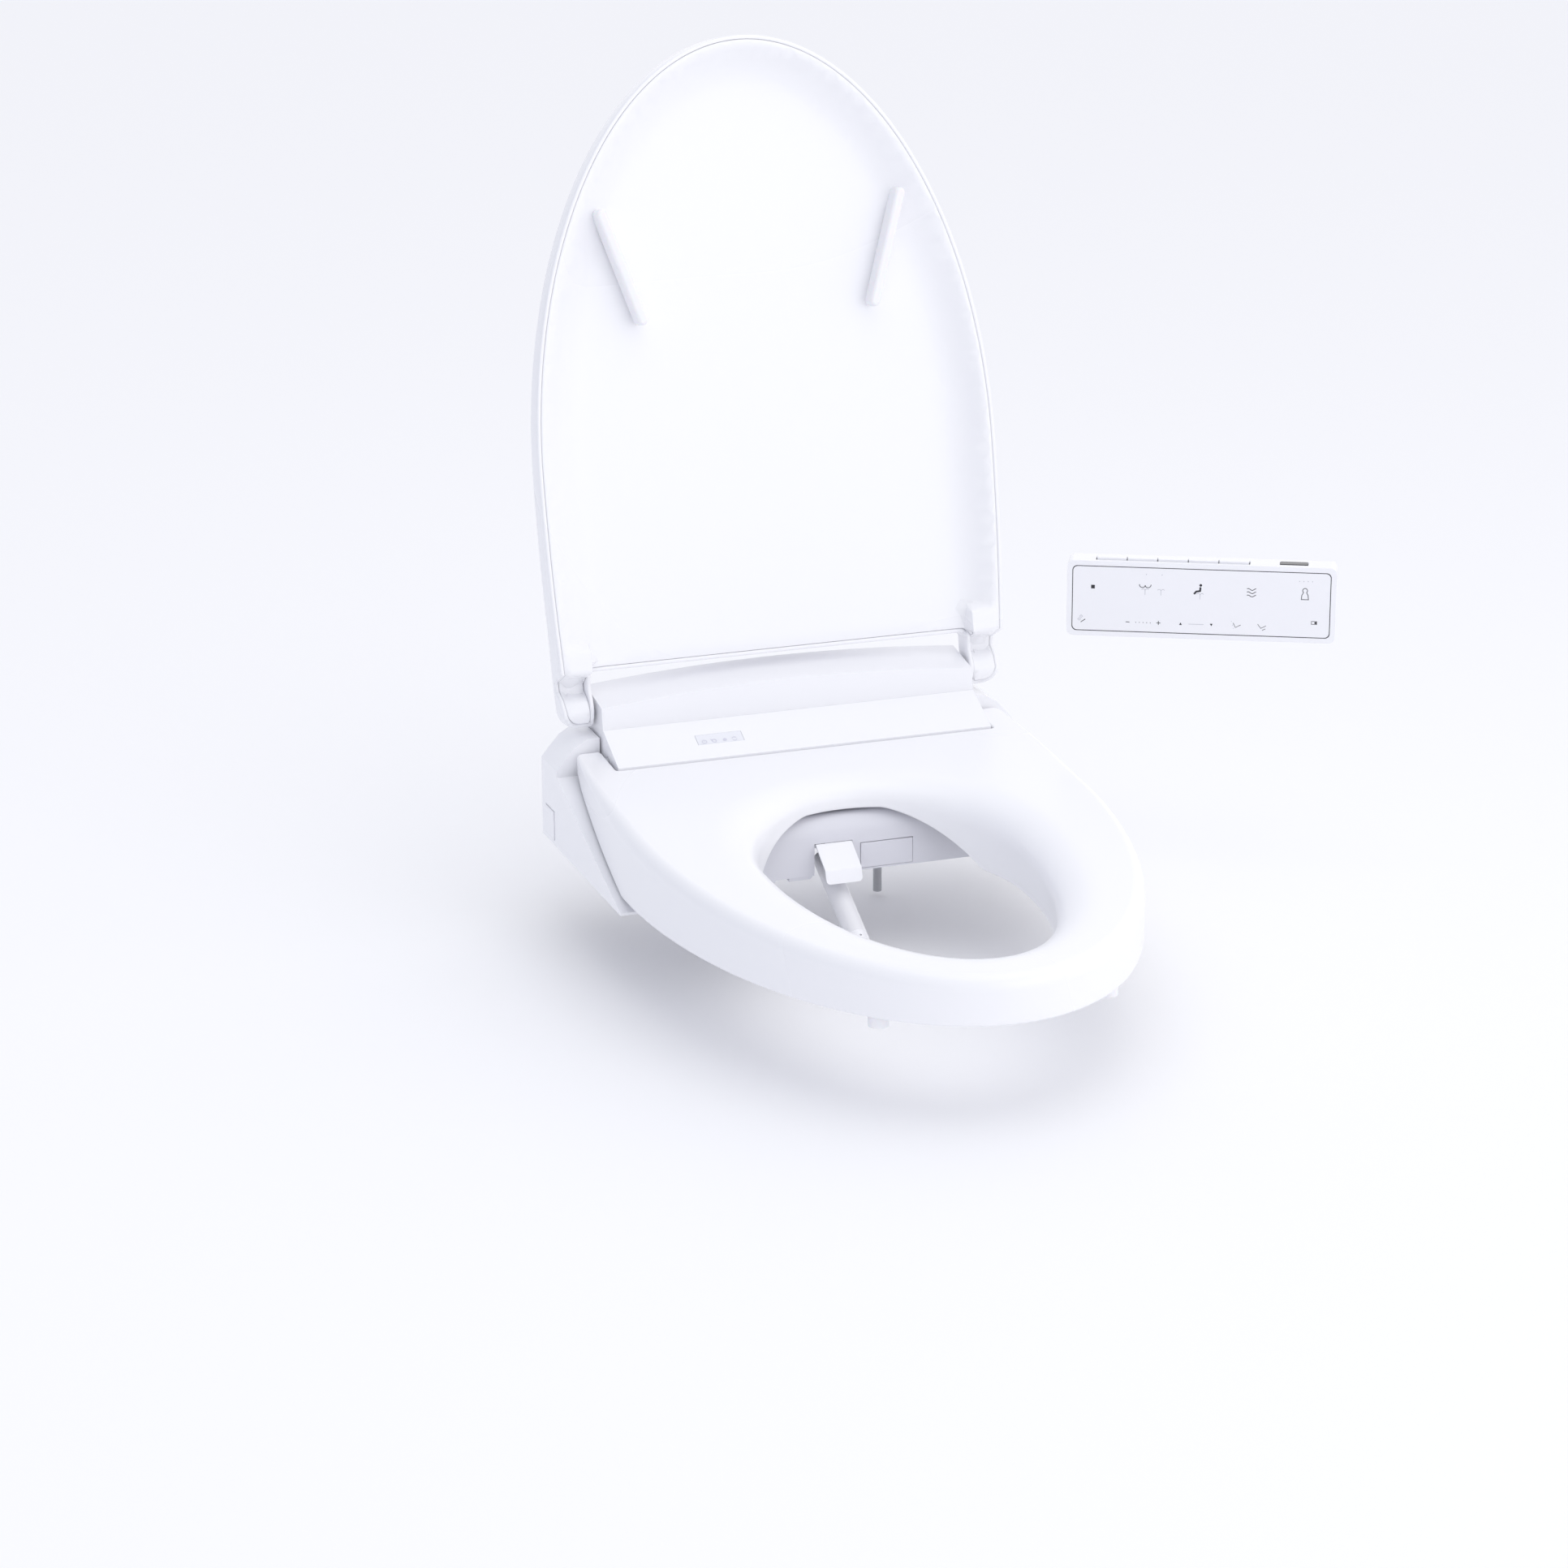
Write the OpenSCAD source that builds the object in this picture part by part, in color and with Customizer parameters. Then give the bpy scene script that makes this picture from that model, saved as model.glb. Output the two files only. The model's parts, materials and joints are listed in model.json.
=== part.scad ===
// Electric bidet seat: lid and heated seat ring hinged on a main unit that clips onto a bolted base plate,
// with a sliding wand, warm air dryer, deodoriser and a wall remote in its holder.
// Frame: origin between the two mounting bolts on the bowl rim, +Z up, the front of the seat towards -Y.

/* [Seat and lid outline] */
// Half width of the lid at its widest
lid_half_w = 189.5; // [175:0.5:205]
// Distance from the widest line to the front tip
nose_len = 329; // [300:1:360]
// How slowly the outline narrows towards the back
tail_len = 480; // [400:5:600]
// Where the outline is widest, behind the origin is positive
wide_y = -148; // [-180:1:-120]
// Fall of the seat top towards the front, degrees
seat_tilt = 3.72; // [0:0.1:6]
// Seat top height at the front edge of the ledge
seat_rear_z = 75; // [65:0.5:90]
// Underside of the seat skirt above the bowl rim
skirt_z = 10; // [6:0.5:16]
// Step of the seat edge inside the lid edge
seat_inset = 2.2; // [1:0.1:5]
// Air gap between the lid rim and the seat
lid_gap = 2; // [1:0.1:4]

/* [Seat opening] */
// Half width of the opening
hole_half_w = 101; // [85:1:115]
// Rear edge of the opening
hole_rear_y = -106; // [-130:1:-90]
// Front edge of the opening
hole_front_y = -419; // [-430:1:-380]
// Widest line of the opening
hole_wide_y = -225; // [-260:1:-200]

/* [Main unit] */
// Half width of the hood and ledge
hood_half_w = 155; // [140:0.5:165]
// Half width over the two cheeks
body_half_w = 192; // [180:0.5:205]
// Rear face of the main unit
body_rear_y = 55; // [45:1:70]
// Front edge of the ledge
ledge_y = -29; // [-40:1:-20]
// Front wall seen through the opening
wall_y = -113; // [-125:1:-100]
// Hood height at the middle of its rear edge
hood_top_z = 127; // [115:0.5:140]
// Crown radius across the hood
hood_crown_r = 1600; // [800:50:4000]
// Plastic wall thickness
skin = 2.8; // [2:0.1:4]

/* [Hinges] */
// Lid axis, behind the origin
lid_axis_y = 36; // [25:0.5:42]
// Lid axis height
lid_axis_z = 104; // [95:0.5:112]
// Lid travel from closed to open, degrees
lid_travel = 106; // [90:1:115]
// Seat axis, behind the origin
seat_axis_y = -2; // [-15:0.5:10]
// Seat axis height
seat_axis_z = 73; // [65:0.5:80]
// Hinge pin radius
pin_r = 4; // [3:0.1:6]
// Radial clearance of a turning fit
run_gap = 0.05; // [0.02:0.01:0.1]

/* [Wand] */
// Wand centre line from the middle of the seat
wand_x = -9; // [-30:1:30]
// Downward slope of the wand, degrees
wand_slope = 28; // [20:1:40]
// Wand axis height at the front wall
wand_z = -6; // [-9:0.5:6]
// Wand radius
wand_r = 8.5; // [6:0.1:11]
// Wand length with its tip
wand_len = 110; // [90:1:130]
// How far the tip stands out of the front wall when extended
wand_out = 84; // [60:1:100]
// Shutter opening angle, degrees
flap_open = 50; // [30:1:60]
// Shutter length
flap_len = 25; // [18:0.5:30]

/* [Mounting] */
// Distance between the two bolts
bolt_pitch = 140; // [130:1:160]
// Bolt radius
bolt_r = 3.5; // [3:0.1:5]
// Base plate thickness
plate_t = 9; // [7:0.5:12]

/* [Remote] */
// Width of the remote
rc_w = 213; // [180:1:240]
// Height of the remote
rc_h = 62; // [50:1:80]
// Thickness of the remote
rc_t = 22; // [16:0.5:30]
// Position of the remote centre
rc_pos = [330, -40, 167];
// Turn of the remote towards the user, degrees
rc_yaw = -27; // [-45:1:45]
// Key width on the top edge
key_w = 23.4; // [18:0.1:28]
// Pitch of the keys
key_pitch = 24.2; // [20:0.1:30]

/* [Hidden] */
$fn = 64;
big = 900;
white = [0.95, 0.95, 0.97];
pale = [0.9, 0.9, 0.93];
dark = [0.2, 0.2, 0.22];
steel = [0.7, 0.71, 0.73];
outline_steps = 40;
tail_steps = 8;

// derived heights
front_y = wide_y - nose_len;
hood_base_y = ledge_y + 39;
hood_base_z = 95;
hood_front_y = ledge_y + 43;
hood_front_z = hood_top_z - 9;
hood_slope = 10;
ledge_z = seat_rear_z + 1;
floor_z = plate_t + 1;
deck_z = 46;
case_wall_z = 39.6;
arm_in = hood_half_w + 3.5;
arm_rear_r = 14.6;
notch_y = ledge_y - 1.5;
ramp_slope = 0.348;
ramp_y = -137;
ramp_z = 6;
cheek_in = arm_in + 7.5;
shoulder_y = 14.5;
lid_rim_n = lid_axis_z - seat_rear_z - lid_gap - (lid_axis_y - ledge_y) * tan(seat_tilt);
boss_r = 13;
slot_v = lid_axis_y - hood_base_y + 4.5;
dish = 15;
liner_t = 2.5;
wand_dir = [0, -cos(wand_slope), -sin(wand_slope)];
door_x = [13, 56.5];
door_top_z = 23;
mouth_half = 15.5;
inlet_r = 10;
seat_skin = 3.2;
heater_margin = 9;
foil_t = 0.6;
lip_roll = 36;
lip_rise = 57;
// base plate and bolts
plate_half_w = 104;
plate_front_y = -52;
plate_rear_y = 44;
rib_z = 3;
head_seat_z = 4;
bolt_head_r = 8;
bolt_head_t = 3.6;
bolt_len = 62;
bolt_play = 1.3;
// lower case
case_t = 2.5;
case_wall = 2.6;
panel_gap = 0.4;
case_half = cheek_in - panel_gap;
case_top_z = floor_z + case_t;
post_r = 4;
screw_r = 1.4;
front_post_x = [-120, 146];
front_post_y = -80;
rear_post_x = [-60, 72];
rear_post_y = 30;
inlet_xy = [-132, 30];
inlet_play = 2;
// front cover and its doors
deck_round = 13;
door_gap = 0.4;
door_t = 2;
shutter_pin_r = 0.6;
// release button
button_y = [22.6, 45.4];
button_z = [5.1, 27.9];
button_gap = 0.6;
// fans, each with its case wall and its centre
fan_wall = 2;
fan_case_r = 28;
fan_blades = 16;
fan_xy = [38, -2];
deo_case_r = 24;
deo_blades = 12;
deo_xy = [112, -28];

function ramp_at(y) = ramp_z + (y - ramp_y) * ramp_slope;

// helpers
module box(lo, hi) { translate(lo) cube([hi[0] - lo[0], hi[1] - lo[1], hi[2] - lo[2]]); }

module rod_x(x0, x1, y, z, r) { translate([x0, y, z]) rotate([0, 90, 0]) cylinder(r = r, h = x1 - x0); }

module rod_y(x, y0, y1, z, r) { translate([x, y0, z]) rotate([-90, 0, 0]) cylinder(r = r, h = y1 - y0); }

module profile_x(x0, x1) {
  // a (y, z) outline drawn in the plane and pulled along X
  translate([x0, 0, 0]) rotate([90, 0, 90]) linear_extrude(height = x1 - x0) children();
}

// Egg outline: half ellipse towards the front, slowly narrowing tail cut off at cut_y
function egg(a, nose, tail, mid, cut_y) = concat(
  [for (i = [0:outline_steps]) let (t = 180 * i / outline_steps) [a * cos(t), mid - nose * sin(t)]],
  [for (i = [1:tail_steps]) let (y = mid + (cut_y - mid) * i / tail_steps)
    [-a * sqrt(1 - pow((y - mid) / tail, 2)), y]],
  [for (i = [0:tail_steps - 1]) let (y = cut_y - (cut_y - mid) * i / tail_steps)
    [a * sqrt(1 - pow((y - mid) / tail, 2)), y]]);

module lid_outline(inset, cut_v) {
  // in the lid's own frame: y is minus the distance from the hinge
  polygon(egg(lid_half_w - inset, nose_len - inset, tail_len, wide_y - lid_axis_y, cut_v));
}

module seat_outline(inset) {
  polygon(egg(lid_half_w - seat_inset - inset, nose_len - seat_inset - inset, tail_len, wide_y,
    seat_axis_y + arm_rear_r));
}

module hole_outline(grow) {
  rear = hole_rear_y - hole_wide_y + grow;
  front = hole_wide_y - hole_front_y + grow;
  half = hole_half_w + grow;
  polygon([for (i = [0:71]) let (t = i * 5, s = sin(t), c = cos(t))
    [half * s, hole_wide_y + (c > 0 ? rear : front) * c]]);
}

// Lid frame: origin on the hinge, rim plane level, turned to the open rest pose
module lid_frame() {
  translate([0, lid_axis_y, lid_axis_z]) rotate([seat_tilt - lid_travel, 0, 0]) children();
}

// Space below the tilted seat top plane, lowered by drop
module below_seat_top(drop) {
  translate([0, ledge_y, seat_rear_z - drop]) rotate([seat_tilt, 0, 0])
    translate([-big / 2, -big, -big]) cube([big, 2 * big, big]);
}

// Space above the skirt line: level at the front, rising over the cheek ramps at the back
module above_skirt(lift) {
  profile_x(-big / 2, big / 2) polygon([
    [-big, skirt_z + lift], [ramp_y + 3, skirt_z + lift],
    [big / 4, skirt_z + lift + (big / 4 - ramp_y - 3) * ramp_slope], [big / 4, big / 2], [-big, big / 2]]);
}

module arm_end_limit() {
  // keeps the arms clear of the body when they turn: nothing behind the axis beyond the hub radius
  profile_x(-big / 2, big / 2) union() {
    translate([-big, -big]) square([big + seat_axis_y, 2 * big]);
    translate([seat_axis_y, seat_axis_z]) circle(r = arm_rear_r);
  }
}

module along_wand(s) {
  // local +Z runs out of the body along the wand, s is the distance beyond the front wall
  translate([wand_x, wall_y + s * wand_dir[1], wand_z + s * wand_dir[2]])
    rotate([90 + wand_slope, 0, 0]) children();
}

module remote_frame() { translate(rc_pos) rotate([0, 0, rc_yaw]) children(); }

// base plate and fixings
module base_plate() color(pale) difference() {
  union() {
    box([-plate_half_w, plate_front_y, 0], [plate_half_w, plate_rear_y, plate_t]);
    // side rails that guide the main unit
    for (s = [-1, 1])
      box([s * (plate_half_w + 4) - 4, -40, 0], [s * (plate_half_w + 4) + 4, 30, head_seat_z]);
  }
  for (s = [-1, 1]) translate([s * bolt_pitch / 2, 0, 0]) {
    translate([0, 0, -1]) cylinder(r = bolt_r + bolt_play, h = plate_t + 2);
    translate([0, 0, head_seat_z]) cylinder(r = bolt_head_r + 1.5, h = plate_t);
  }
  // pockets between the ribs, the middle one open front and back for the wand
  box([-44, plate_front_y - 8, rib_z], [26, plate_rear_y + 16, plate_t + 1]);
  for (x = [-98, 38, 90]) box([x, plate_front_y + 6, rib_z], [x + 8, plate_rear_y - 6, plate_t + 1]);
}

module bolt_at(side) color(steel) translate([side * bolt_pitch / 2, 0, 0]) {
  translate([0, 0, head_seat_z]) cylinder(r = bolt_head_r, h = bolt_head_t);
  translate([0, 0, -bolt_len]) cylinder(r = bolt_r, h = bolt_len + head_seat_z + 1);
}

module bolt_left() { bolt_at(-1); }
module bolt_right() { bolt_at(1); }

// main unit
module lower_case() color(pale) difference() {
  union() {
    box([-case_half, wall_y + 4, floor_z], [case_half, body_rear_y, case_top_z]);
    for (s = [-1, 1])
      box([s > 0 ? case_half - case_wall : -case_half, wall_y + 16, case_top_z],
        [s > 0 ? case_half : case_wall - case_half, body_rear_y, case_wall_z]);
    box([-case_half, body_rear_y - skin, case_top_z], [case_half, body_rear_y, case_wall_z]);
    // rear wall that closes the back of the hood
    box([-hood_half_w - 0.8, body_rear_y - skin, case_wall_z - 1], [hood_half_w + 0.8, body_rear_y, 66]);
    for (x = front_post_x) translate([x, front_post_y, case_top_z]) cylinder(r = post_r, h = 26);
    for (x = rear_post_x) translate([x, rear_post_y, case_top_z]) cylinder(r = post_r, h = 30);
  }
  // mouth for the wand, hole for the hose nut, air slots and cord outlet
  box([wand_x - mouth_half, wall_y, 0], [wand_x + mouth_half, wall_y + 66, 40]);
  translate([inlet_xy[0], inlet_xy[1], 0]) cylinder(r = inlet_r + inlet_play, h = 40);
  for (i = [0:5]) box([84 + i * 9, 34, floor_z - 1], [88 + i * 9, 48, floor_z + 4]);
  box([134, body_rear_y - 10, 26], [150, body_rear_y + 1, 38]);
  for (x = front_post_x) translate([x, front_post_y, 14]) cylinder(r = screw_r, h = 40);
  for (x = rear_post_x) translate([x, rear_post_y, 14]) cylinder(r = screw_r, h = 40);
}

module cheek_shape(grow) {
  // side outline of a cheek: a ramp that falls to the front and a level shoulder at the back
  r = -grow;
  polygon([[ramp_y - 10 - r, 0.5], [ramp_y - 10 - r, 2.5 + grow], [ramp_y, ramp_z + grow],
    [shoulder_y, ramp_at(shoulder_y) + grow], [body_rear_y + grow, ramp_at(shoulder_y) + grow],
    [body_rear_y + grow, 0.5]]);
}

module cheek_solid(grow) {
  profile_x(cheek_in - grow, body_half_w + grow) cheek_shape(grow);
  // shoulder that climbs from the outer edge to the hood
  translate([0, body_rear_y + grow, 0]) rotate([90, 0, 0])
    linear_extrude(height = body_rear_y - shoulder_y + 2 * grow)
    polygon([[cheek_in - grow, 40], [hood_half_w + 1.2 - grow, 52], [hood_half_w + 1.2 - grow, 87.5 + grow],
      [hood_half_w + 12, 87.5 + grow], [hood_half_w + 22, 81.5 + grow], [body_half_w - 6, 71.5 + grow],
      [body_half_w + grow, 64], [body_half_w + grow, 40]]);
}

module cheek_right() color(white) difference() {
  cheek_solid(0);
  difference() {
    cheek_solid(-skin);
    box([0, -big, -1], [big, big, 3]);
  }
  box([cheek_in + skin, ramp_y + 12, -1], [body_half_w - skin, body_rear_y - skin, 4]);
}

module cheek_left() color(white) difference() {
  mirror([1, 0, 0]) cheek_right();
  // opening for the release button
  box([-body_half_w - 1, button_y[0] - button_gap, button_z[0] - button_gap],
    [-body_half_w + 5, button_y[1] + button_gap, button_z[1] + button_gap]);
}

module release_button() color(white) {
  box([-body_half_w - 0.8, button_y[0], button_z[0]], [-body_half_w + 1.8, button_y[1], button_z[1]]);
  box([-body_half_w + 1.8, 29, 10], [-body_half_w + 14, 39, 23]);
}

module front_profile(g) {
  // upright wall, a quarter round, then the level deck under the ring
  polygon(concat([[wall_y + g, 0.5 - g], [wall_y + g, 31]],
    [for (i = [1:8]) let (t = i * 11.25)
      [wall_y + deck_round - (deck_round - g) * cos(t), 31 + (deck_z - 31 - g) * sin(t)]],
    [[ledge_y + 2, deck_z - g], [ledge_y + 2, 0.5 - g]]));
}

module front_cover() color(white) difference() {
  profile_x(-case_half, case_half) front_profile(0);
  profile_x(-case_half + skin, case_half - skin) front_profile(skin);
  box([-big, wall_y + 3.9, -1], [big, big, case_top_z + 0.1]);
  box([-big, wall_y + 15.9, -1], [big, big, case_wall_z + 0.1]);
  // the cheeks' ramps pass in front of the side ends
  for (s = [-1, 1]) box([s > 0 ? 126 : -big, wall_y - 1, -1], [s > 0 ? big : -126, wall_y + 16, 12]);
  // openings for the wand and the dryer
  box([wand_x - mouth_half, wall_y - 1, -1], [wand_x + mouth_half, wall_y + 30, door_top_z + 3]);
  box([door_x[0], wall_y - 1, 2], [door_x[1], wall_y + 5, door_top_z]);
  for (x = front_post_x) translate([x, front_post_y, 30]) cylinder(r = screw_r + 0.4, h = 40);
  // slot where the drawn-in wand passes up through the deck
  box([wand_x - wand_r - 2, ledge_y - 17, deck_z - 8], [wand_x + wand_r + 2, ledge_y + 10, deck_z + 1]);
}

module ledge_profile(g) {
  polygon([[ledge_y + g, 48 - g], [ledge_y + g, ledge_z - g * 0.6],
    [hood_base_y + g, hood_base_z - g * 0.6], [hood_base_y + g, 48 - g]]);
}

module ledge_cover() color(white) difference() {
  profile_x(-hood_half_w, hood_half_w) difference() {
    ledge_profile(0);
    translate([hood_base_y - 0.2, 0]) square([20, 200]);
  }
  profile_x(-hood_half_w + skin, hood_half_w - skin) ledge_profile(skin);
  for (s = [-1, 1]) rod_x(s * hood_half_w - 8, s * hood_half_w + 8, seat_axis_y, seat_axis_z, pin_r);
  box([wand_x - wand_r - 2, ledge_y - 1, 40], [wand_x + wand_r + 2, ledge_y + 6, 54]);
  // window for the indicator lens, normal to the slope
  translate([-66, ledge_y + 19, 0]) box([-19, -5, 60], [19, 5, 100]);
}

module indicator_lens() color([0.85, 0.87, 0.9]) intersection() {
  translate([-66, ledge_y + 19, 0]) box([-18.8, -4.8, 60], [18.8, 4.8, 100]);
  profile_x(-hood_half_w, hood_half_w) difference() {
    ledge_profile(0);
    ledge_profile(1.6);
  }
}

module hood_solid(g) {
  intersection() {
    profile_x(-hood_half_w + g, hood_half_w - g) polygon([
      [hood_base_y + g, 48 - g], [hood_base_y + g, hood_base_z], [hood_front_y + g, hood_front_z + 4 - g],
      [body_rear_y - 1 - g, 140], [body_rear_y - 1 - g, 66.4 - g], [body_rear_y - 5 - g, 66.4 - g],
      [body_rear_y - 12, 48 - g]]);
    translate([0, body_rear_y, hood_top_z]) rotate([hood_slope, 0, 0])
      rod_y(0, -200, 200, -hood_crown_r, hood_crown_r - g, $fn = 256);
  }
}

module hood_cover() color(white) difference() {
  hood_solid(0);
  hood_solid(skin);
  // open underneath, and open at the front below the ledge
  box([-big, hood_base_y - 1, 40], [big, body_rear_y - 30, 48.1]);
  box([-hood_half_w + skin, hood_base_y - 1, 40],
    [hood_half_w - skin, hood_base_y + skin + 1, hood_base_z - 11]);
  for (s = [-1, 1]) rod_x(s * hood_half_w - 8, s * hood_half_w + 8, lid_axis_y, lid_axis_z, pin_r);
}

// lid
module lid_crown(drop) {
  // long cylinder under the lid top, falling slightly to the front
  translate([0, 0, 16 - 2200 - drop]) rotate([90 + 1.5, 0, 0]) translate([0, 0, -160])
    cylinder(r = 2200, h = 900, $fn = 256);
}

module lid_side_limit(g) {
  // rounded end round the hinge, then down to the rim plane
  rod_x(-big / 2, big / 2, 0, 0, boss_r - g);
  profile_x(-big / 2, big / 2) polygon([[4, 40], [4, -boss_r + 5], [-2, -boss_r + 0.5 + g],
    [-14 - g, -lid_rim_n - 1], [-big, -lid_rim_n - 1], [-big, 40]]);
}

module lid_plan(inset) {
  intersection() {
    lid_outline(inset, boss_r + 5);
    union() {
      // corner radius where the sides meet the hinge bosses
      translate([-big / 2, -big]) square([big, big - 12]);
      for (s = [-1, 1]) translate([s * (lid_half_w - 31), -12]) circle(r = 25 - inset);
      translate([-lid_half_w + 31, -20]) square([2 * lid_half_w - 62, 33 - inset]);
    }
  }
}

module lid_slot(extra) {
  box([-hood_half_w - 2.5 - extra, -slot_v - extra, -60], [hood_half_w + 2.5 + extra, 60, 60]);
}

module lid_outer() color(white) lid_frame() difference() {
  intersection() {
    translate([0, 0, -lid_rim_n]) linear_extrude(height = 60) lid_plan(0);
    lid_crown(0);
    lid_side_limit(0);
  }
  difference() {
    intersection() {
      translate([0, 0, -lid_rim_n - 1]) linear_extrude(height = 61) lid_plan(3.2);
      lid_crown(3);
    }
    // hinge bosses and slot wall stay solid
    difference() {
      lid_slot(3);
      lid_slot(-50);
    }
    for (s = [-1, 1]) box([s * 172 - 14, -25, -boss_r], [s * 172 + 14, 20, 30]);
    lid_slot(3);
  }
  lid_slot(0);
  // behind the slot edge only the outer wall reaches the rim, so the bosses clear the cheek shoulders
  for (s = [-1, 1]) box([s * (hood_half_w + 13.5) - 11.5, -slot_v + 0.5, -60],
    [s * (hood_half_w + 13.5) + 11.5, 20, -boss_r]);
  box([-hood_half_w - 6, -slot_v - 4, -60], [hood_half_w + 6, -slot_v + 1, -lid_rim_n + dish + 0.5]);
  for (s = [-1, 1]) rod_x(s * 167.5 - 10, s * 167.5 + 10, 0, 0, pin_r + run_gap);
  // open pocket beside the right hinge boss
  box([hood_half_w + 2, -22, -boss_r - 9], [hood_half_w + 13, -6.5, 2]);
}

module lid_liner() color(white) lid_frame() difference() {
  translate([0, 0, -lid_rim_n + 0.6]) linear_extrude(height = dish + liner_t - 0.6) intersection() {
    lid_outline(3.8, 0);
    translate([-big / 2, -big]) square([big, big - slot_v - 4]);
  }
  translate([0, 0, -lid_rim_n - 1]) linear_extrude(height = dish + 1) intersection() {
    lid_outline(15, 0);
    translate([-big / 2, -big]) square([big, big - slot_v - 14]);
  }
  translate([0, 0, -lid_rim_n + 3.1]) linear_extrude(height = dish) difference() {
    intersection() {
      lid_outline(6.4, 0);
      translate([-big / 2, -big]) square([big, big - slot_v - 6.6]);
    }
    intersection() {
      lid_outline(12.4, 0);
      translate([-big / 2, -big]) square([big, big - slot_v - 11.5]);
    }
  }
  box([-hood_half_w - 4, -slot_v - 20, -60], [hood_half_w + 4, 0, -lid_rim_n + dish - 1.5]);
}

module lid_bumper_at(side) color([0.93, 0.94, 0.96]) lid_frame() {
  from = [side * 96, -300];
  to = [side * 123, -383];
  len = norm(to - from);
  h = dish + lid_gap - 0.4;
  translate([from[0], from[1], -lid_rim_n - lid_gap + 0.4])
    rotate([0, 0, atan2(to[1] - from[1], to[0] - from[0])])
    union() {
      translate([0, -4.2, 0]) cube([len, 8.4, h]);
      for (x = [0, len]) translate([x, 0, 0]) cylinder(r = 4.2, h = h, $fn = 32);
    }
}

module lid_bumper_left() { lid_bumper_at(-1); }
module lid_bumper_right() { lid_bumper_at(1); }

module lid_pin() color(steel) {
  rod_x(-hood_half_w - 22, -hood_half_w + 8, lid_axis_y, lid_axis_z, pin_r);
  rod_x(-hood_half_w + skin, -hood_half_w + 8, lid_axis_y, lid_axis_z, 7);
}

module lid_damper() color(dark) {
  rod_x(hood_half_w - 8, hood_half_w + 22, lid_axis_y, lid_axis_z, pin_r);
  rod_x(hood_half_w - 62, hood_half_w - skin, lid_axis_y, lid_axis_z, 9);
}

// seat
module seat_block(inset, hole_grow, drop, lift) {
  intersection() {
    linear_extrude(height = 100) difference() {
      seat_outline(inset);
      hole_outline(hole_grow);
      translate([-arm_in + 1.5 - inset, notch_y - inset]) square([2 * (arm_in - 1.5 + inset), 200]);
    }
    below_seat_top(drop);
    above_skirt(lift);
    arm_end_limit();
  }
}

module seat_top() color(white) difference() {
  seat_block(0, 0, 0, 0);
  difference() {
    seat_block(seat_skin - 0.2, seat_skin - 0.2, seat_skin, -5);
    // solid hinge hubs in the arms
    for (s = [-1, 1]) box([s * 168 - 12, seat_axis_y - 14, 30], [s * 168 + 12, 40, 100]);
  }
  for (s = [-1, 1]) rod_x(s * 165.5 - 10, s * 165.5 + 10, seat_axis_y, seat_axis_z, pin_r - 0.5 + run_gap);
  deck_room();
}

module deck_room() {
  // the deck of the main unit passes under the rear of the ring, and its two doors swing out in front
  box([-cheek_in, wall_y - 4, -1], [cheek_in, ledge_y + 8, deck_z + 2.2]);
  profile_x(-hole_half_w - 7, hole_half_w + 7) polygon([[wall_y - lip_rise, -1],
    [wall_y - lip_rise, skirt_z], [wall_y - 3.9, deck_z + 2.2], [wall_y - 3.9, -1]]);
}

module seat_base() color(pale) difference() {
  intersection() {
    seat_block(3.3, 3.3, 3.6, 2);
    union() {
      box([-big / 2, front_y, 12], [big / 2, ramp_y + 3, 15]);
      box([-big / 2, ramp_y, 12], [big / 2, ramp_y + 2.5, deck_z + 5]);
      box([-hood_half_w, ramp_y, deck_z + 2.6], [hood_half_w, notch_y - 3.4, deck_z + 5]);
    }
  }
  for (p = buffer_xy) translate([p[0], p[1], 0]) cylinder(r = 4, h = 40);
  deck_room();
}

buffer_xy = [[-88, -420], [88, -420], [-144, -190], [144, -190]];

module seat_heater() color([0.75, 0.45, 0.3]) intersection() {
  // foil under the top skin, kept off the rolled inner lip
  seat_block(heater_margin, lip_roll + 2, seat_skin + 0.1, -5);
  difference() {
    below_seat_top(seat_skin + 0.1);
    below_seat_top(seat_skin + 0.1 + foil_t);
  }
  box([-hood_half_w + 3, front_y, 0], [hood_half_w - 3, notch_y - 8, 100]);
}

module seat_buffer_at(p) color([0.85, 0.85, 0.87]) translate([p[0], p[1], 0]) {
  translate([0, 0, 0.2]) cylinder(r = 7.5, h = 11.8);
  translate([0, 0, 12]) cylinder(r = 4, h = 3);
  translate([0, 0, 15]) cylinder(r = 5.5, h = 1.6);
}

module seat_buffer_fl() { seat_buffer_at(buffer_xy[0]); }
module seat_buffer_fr() { seat_buffer_at(buffer_xy[1]); }
module seat_buffer_rl() { seat_buffer_at(buffer_xy[2]); }
module seat_buffer_rr() { seat_buffer_at(buffer_xy[3]); }

module seat_pin() color(steel) {
  rod_x(-arm_in - 14, -hood_half_w, seat_axis_y, seat_axis_z, pin_r - 0.5);
  rod_x(-hood_half_w, -hood_half_w + 8, seat_axis_y, seat_axis_z, pin_r);
}

module seat_damper() color(dark) {
  rod_x(hood_half_w, arm_in + 14, seat_axis_y, seat_axis_z, pin_r - 0.5);
  rod_x(hood_half_w - 8, hood_half_w, seat_axis_y, seat_axis_z, pin_r);
  rod_x(hood_half_w - 56, hood_half_w - skin, seat_axis_y, seat_axis_z, 8.5);
}

// wand
module wand_tube() color(pale) along_wand(wand_out) difference() {
  union() {
    translate([0, 0, -wand_len]) cylinder(r = wand_r, h = wand_len - 26);
    // drive lug on the right side
    box([wand_r - 1.5, -2.5, -wand_len], [wand_r + 2, 2.5, -wand_len + 14]);
  }
  translate([0, 0, -wand_len + 4]) cylinder(r = wand_r - 2.2, h = wand_len);
}

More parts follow.
